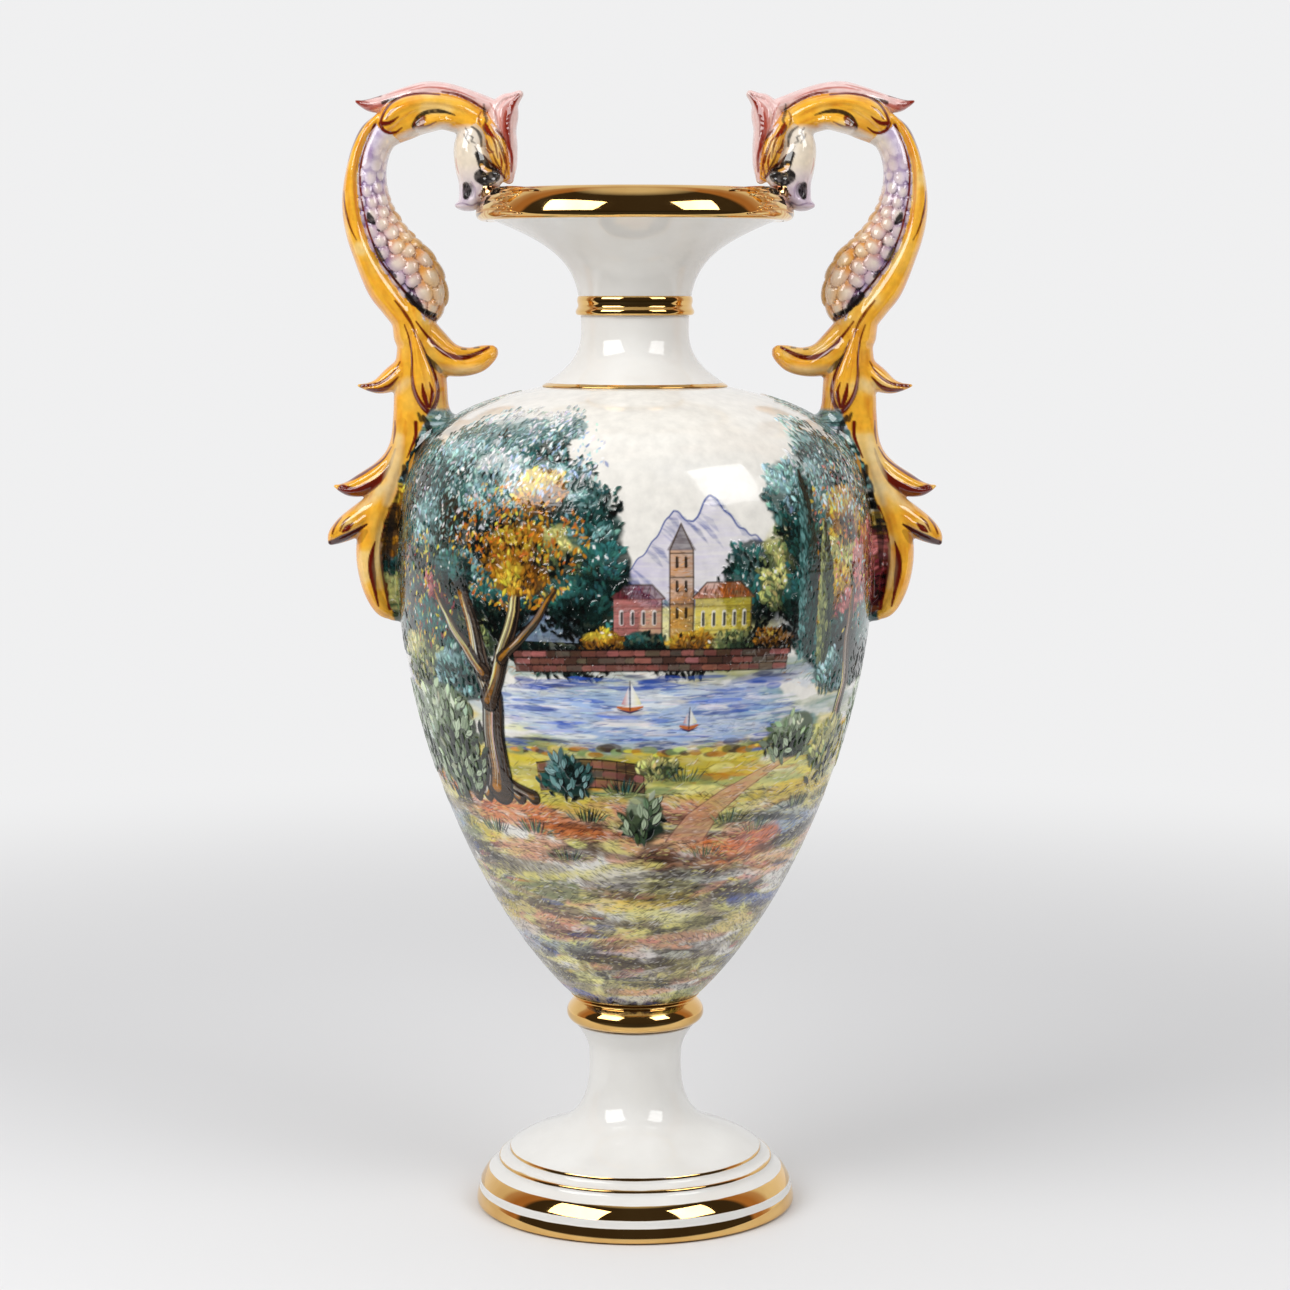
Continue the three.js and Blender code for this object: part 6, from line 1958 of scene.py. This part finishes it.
def make_rim_leaves():
    profile = resampled(rim_profile(), LEAF_STEP)
    out = np.gradient(profile, axis=0)
    out /= np.hypot(*out.T)[:, None]
    out = np.stack([-out[:, 1], out[:, 0]], 1)
    p = np.arange(len(profile)) * LEAF_STEP
    s = np.arange(-6, 80.01, LEAF_STEP)
    grid_s, grid_p = np.meshgrid(s, p, indexing="ij")
    height = np.full(grid_s.shape, -1.0)
    for line, widths, tall in RIM_LOBES:
        d, share = stroke_distance(grid_s, grid_p, line)
        half = np.interp(share, np.linspace(0, 1, len(widths)), widths)
        q = d / half
        dome = tall * np.sqrt(np.clip(1 - q * q, 0, 1)) * (1 - 0.55 * share)
        dome = dome + 0.15 * np.cos(d * 2.2) * (1 - share) * (1 - q)
        height = np.maximum(height, np.where(q < 1, dome + 0.15, -1.0))
    fade = np.clip((p - 2) / 3, 0, 1) * np.clip((28 - p) / 5, 0, 1)
    height = np.where(height > 0, height * fade, height)
    colour = np.tile(BRIGHT_GOLD, (height.size, 1))
    cloud = mottle(np.stack([grid_s.ravel(), grid_p.ravel(), np.zeros(height.size)], 1), 2.2, 5)
    colour = blend_in(colour, DEEP_OCHRE, np.clip(cloud * 1.4 - 0.7, 0, 0.5))
    for line, half, paint in RIM_LINES:
        d, share = stroke_distance(grid_s, grid_p, line)
        cover = np.clip((half * (1.3 - 0.8 * share) - d) / 0.5 + 0.5, 0, 1)
        colour = blend_in(colour, paint, cover.ravel() * 0.9)
    rows, columns = height.shape
    turn = s / LEAF_R
    for side, way in (("right", 1), ("left", -1)):
        for face, toward in (("front", -1), ("back", 1)):
            shells = []
            for depth in (height, np.full(height.shape, -1.3)):
                radius = profile[:, 0] + depth * out[:, 0]
                z = profile[:, 1] + depth * out[:, 1]
                x = way * radius * np.cos(turn)[:, None]
                y = toward * radius * np.sin(turn)[:, None]
                shells.append(np.stack([x, y, z], -1).reshape(-1, 3))
            quads = grid_faces(rows, columns)
            under = quads[:, ::-1] + rows * columns
            rim_line = np.r_[
                np.arange(columns), np.arange(1, rows) * columns + columns - 1,
                (rows - 1) * columns + np.arange(columns - 2, -1, -1), np.arange(rows - 2, 0, -1) * columns,
            ]
            after = np.roll(rim_line, -1)
            wall = np.stack([after, rim_line, rim_line + rows * columns, after + rows * columns], -1)
            faces = np.concatenate([quads, under, wall])
            if way * toward < 0:
                faces = faces[:, ::-1]
            leaf = link(f"{side}_rim_leaf_{face}_gilt", np.concatenate(shells), faces)
            colour_attribute(leaf, "paint", np.concatenate([colour, colour]))
            finish_piece(leaf, LEAF_GOLD, "gilding", f"{side}_rim_leaf_{face}")


make_rim_leaves()


# Steel and cork of the parts that hold the urn together, out of sight inside it
def zinc_steel():
    mat, tree, shader = material("zinc_steel")
    patina = noise(tree, 180, 5, 0.6)
    tone = ramp(tree, patina, (0.3, (0.42, 0.43, 0.43)), (0.7, (0.6, 0.61, 0.62)))
    tree.links.new(tone, shader.inputs["Base Color"])
    shader.inputs["Metallic"].default_value = 1.0
    uneven_gloss(tree, shader, patina, 0.42, 0.26)
    add_bump(tree, shader, patina, 0.2, 0.0002)
    return mat


def pressed_cork():
    mat, tree, shader = material("pressed_cork")
    coord = tree.nodes.new("ShaderNodeTexCoord")
    crumbs = tree.nodes.new("ShaderNodeTexVoronoi")
    crumbs.inputs["Scale"].default_value = 550
    tree.links.new(coord.outputs["Object"], crumbs.inputs["Vector"])
    tone = tree.nodes.new("ShaderNodeSeparateColor")
    tree.links.new(crumbs.outputs["Color"], tone.inputs["Color"])
    dark, brown, pale = (0.24, 0.13, 0.06), (0.46, 0.3, 0.16), (0.6, 0.42, 0.25)
    colour = ramp(tree, tone.outputs[0], (0.1, dark), (0.5, brown), (0.9, pale))
    tree.links.new(colour, shader.inputs["Base Color"])
    shader.inputs["Roughness"].default_value = 0.9
    add_bump(tree, shader, crumbs.outputs["Distance"], 0.5, 0.0005)
    return mat


def repaint(mat, *nodes):
    for node in nodes:
        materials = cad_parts[node].data.materials
        materials.clear()
        materials.append(mat)


repaint(zinc_steel(), "tie_bolt", "bolt_washer", "foot_washer", "tie_nut")
repaint(pressed_cork(), "collar_gasket", "body_gasket", "bolt_gasket", "foot_gasket")


# Floor, light and camera
BACKDROP = (0.87, 0.87, 0.875, 1)
FLOOR_NEAR = 0.55
FLOOR_FAR = 1.5
FLOOR_FRONT = (-0.12, -0.2)
FLOOR_TONE = (0.8, 0.8, 0.805, 1)
UNLIT_TONE = (0.03, 0.027, 0.025, 1)
NONE, FULL = (0, 0, 0), (1, 1, 1)
OVERHEAD = (0.72, 0.72, 0.73, 1)
DARK_WALL = (0.045, 0.036, 0.028)
WARM_WALL = (0.42, 0.22, 0.1)
REAR_WALL = (0.72, 0.72, 0.72)


def sees_background(tree):
    """1 for the rays to which the background shows as it is."""
    rays = tree.nodes.new("ShaderNodeLightPath")
    total = rays.outputs["Is Camera Ray"]
    for other in ("Is Transmission Ray", "Is Glossy Ray"):
        total = calculated(tree, "ADD", total, rays.outputs[other])
    return total


def make_floor():
    """Pale floor that holds the shadow near the urn and runs into the backdrop further out; beyond its front
    edge the gilding mirrors the dark studio."""
    mat, tree, shader = material("pale_floor")
    shader.inputs["Roughness"].default_value = 0.6
    shader.inputs["Specular IOR Level"].default_value = 0.2
    coord = tree.nodes.new("ShaderNodeTexCoord")
    reach = tree.nodes.new("ShaderNodeVectorMath")
    reach.operation = "LENGTH"
    tree.links.new(coord.outputs["Object"], reach.inputs[0])
    fade = tree.nodes.new("ShaderNodeMapRange")
    fade.interpolation_type = "SMOOTHSTEP"
    fade.inputs["From Min"].default_value = FLOOR_NEAR
    fade.inputs["From Max"].default_value = FLOOR_FAR
    tree.links.new(reach.outputs["Value"], fade.inputs["Value"])
    split = tree.nodes.new("ShaderNodeSeparateXYZ")
    tree.links.new(coord.outputs["Object"], split.inputs[0])
    front = tree.nodes.new("ShaderNodeMapRange")
    front.inputs["From Min"].default_value, front.inputs["From Max"].default_value = FLOOR_FRONT
    tree.links.new(split.outputs["Y"], front.inputs["Value"])
    mirrored = tree.nodes.new("ShaderNodeLightPath").outputs["Is Glossy Ray"]
    unlit = calculated(tree, "MULTIPLY", front.outputs["Result"], mirrored)
    tone = mixed(tree, unlit, FLOOR_TONE, UNLIT_TONE)
    tree.links.new(tone, shader.inputs["Base Color"])
    seen = calculated(tree, "SUBTRACT", sees_background(tree), unlit, clamp=True)
    far = calculated(tree, "MULTIPLY", fade.outputs["Result"], seen, clamp=True)
    plain = tree.nodes.new("ShaderNodeEmission")
    plain.inputs["Color"].default_value = BACKDROP
    mix = tree.nodes.new("ShaderNodeMixShader")
    tree.links.new(far, mix.inputs[0])
    tree.links.new(shader.outputs[0], mix.inputs[1])
    tree.links.new(plain.outputs[0], mix.inputs[2])
    tree.links.new(mix.outputs[0], tree.nodes["Material Output"].inputs["Surface"])
    bpy.ops.mesh.primitive_plane_add(size=16, location=(0, 0, -0.0005))
    floor = bpy.context.object
    floor.name = "floor"
    floor.data.materials.append(mat)


def make_world():
    """A pale backdrop behind the urn, in a studio that is dark in front and light overhead."""
    world = bpy.data.worlds.new("studio")
    bpy.context.scene.world = world
    world.use_nodes = True
    tree = world.node_tree
    background = tree.nodes["Background"]
    coord = tree.nodes.new("ShaderNodeTexCoord")
    split = tree.nodes.new("ShaderNodeSeparateXYZ")
    tree.links.new(coord.outputs["Generated"], split.inputs[0])
    depth = calculated(tree, "MULTIPLY_ADD", split.outputs["Y"], 0.5, 0.5)
    up = split.outputs["Z"]
    low = ramp(tree, depth, (0.2, (0.05, 0.045, 0.042)), (0.85, (0.5, 0.5, 0.5)))
    high = ramp(tree, up, (0.25, NONE), (0.8, FULL))
    room = mixed(tree, high, low, OVERHEAD)
    walls = ramp(tree, depth, (0.5, DARK_WALL), (0.54, WARM_WALL), (0.68, WARM_WALL), (0.72, REAR_WALL))
    ceiling = ramp(tree, up, (0.9, NONE), (0.985, FULL))
    mirror = mixed(tree, ceiling, walls, OVERHEAD)
    behind = ramp(tree, depth, (0.6, NONE), (0.9, FULL))
    rays = tree.nodes.new("ShaderNodeLightPath")
    room = mixed(tree, rays.outputs["Is Glossy Ray"], room, mirror)
    metal = calculated(tree, "MULTIPLY", rays.outputs["Is Glossy Ray"], behind)
    clear = calculated(tree, "ADD", rays.outputs["Is Camera Ray"], rays.outputs["Is Transmission Ray"])
    shown = calculated(tree, "ADD", clear, metal, clamp=True)
    tree.links.new(mixed(tree, shown, room, BACKDROP), background.inputs["Color"])
    background.inputs["Strength"].default_value = 1.0


make_floor()
make_world()

AIM = Vector((0, 0, 0.46))


def softbox(name, azimuth, elevation, distance, wide, high, power):
    a, e = math.radians(azimuth), math.radians(elevation)
    place = AIM + distance * Vector((math.sin(a) * math.cos(e), -math.cos(a) * math.cos(e), math.sin(e)))
    data = bpy.data.lights.new(name, "AREA")
    data.shape = "RECTANGLE"
    data.size = wide
    data.size_y = high
    data.energy = power
    lamp = bpy.data.objects.new(name, data)
    lamp.location = place
    lamp.rotation_euler = (AIM - place).to_track_quat("-Z", "Y").to_euler()
    bpy.context.collection.objects.link(lamp)


softbox("softbox_left", -50, 31, 1.6, 1.15, 0.9, 17.4)
softbox("softbox_right", 50, 31, 1.6, 0.8, 0.8, 10)

camera_data = bpy.data.cameras.new("camera")
camera_data.lens = 85
camera_data.sensor_width = 36
camera_data.clip_end = 20
camera = bpy.data.objects.new("camera", camera_data)
camera.location = (0.0053, -1.618, 0.487)
camera.rotation_euler = (math.radians(90 - 6.49), 0, 0)
bpy.context.collection.objects.link(camera)
scene = bpy.context.scene
scene.camera = camera
scene.view_settings.view_transform = "Standard"
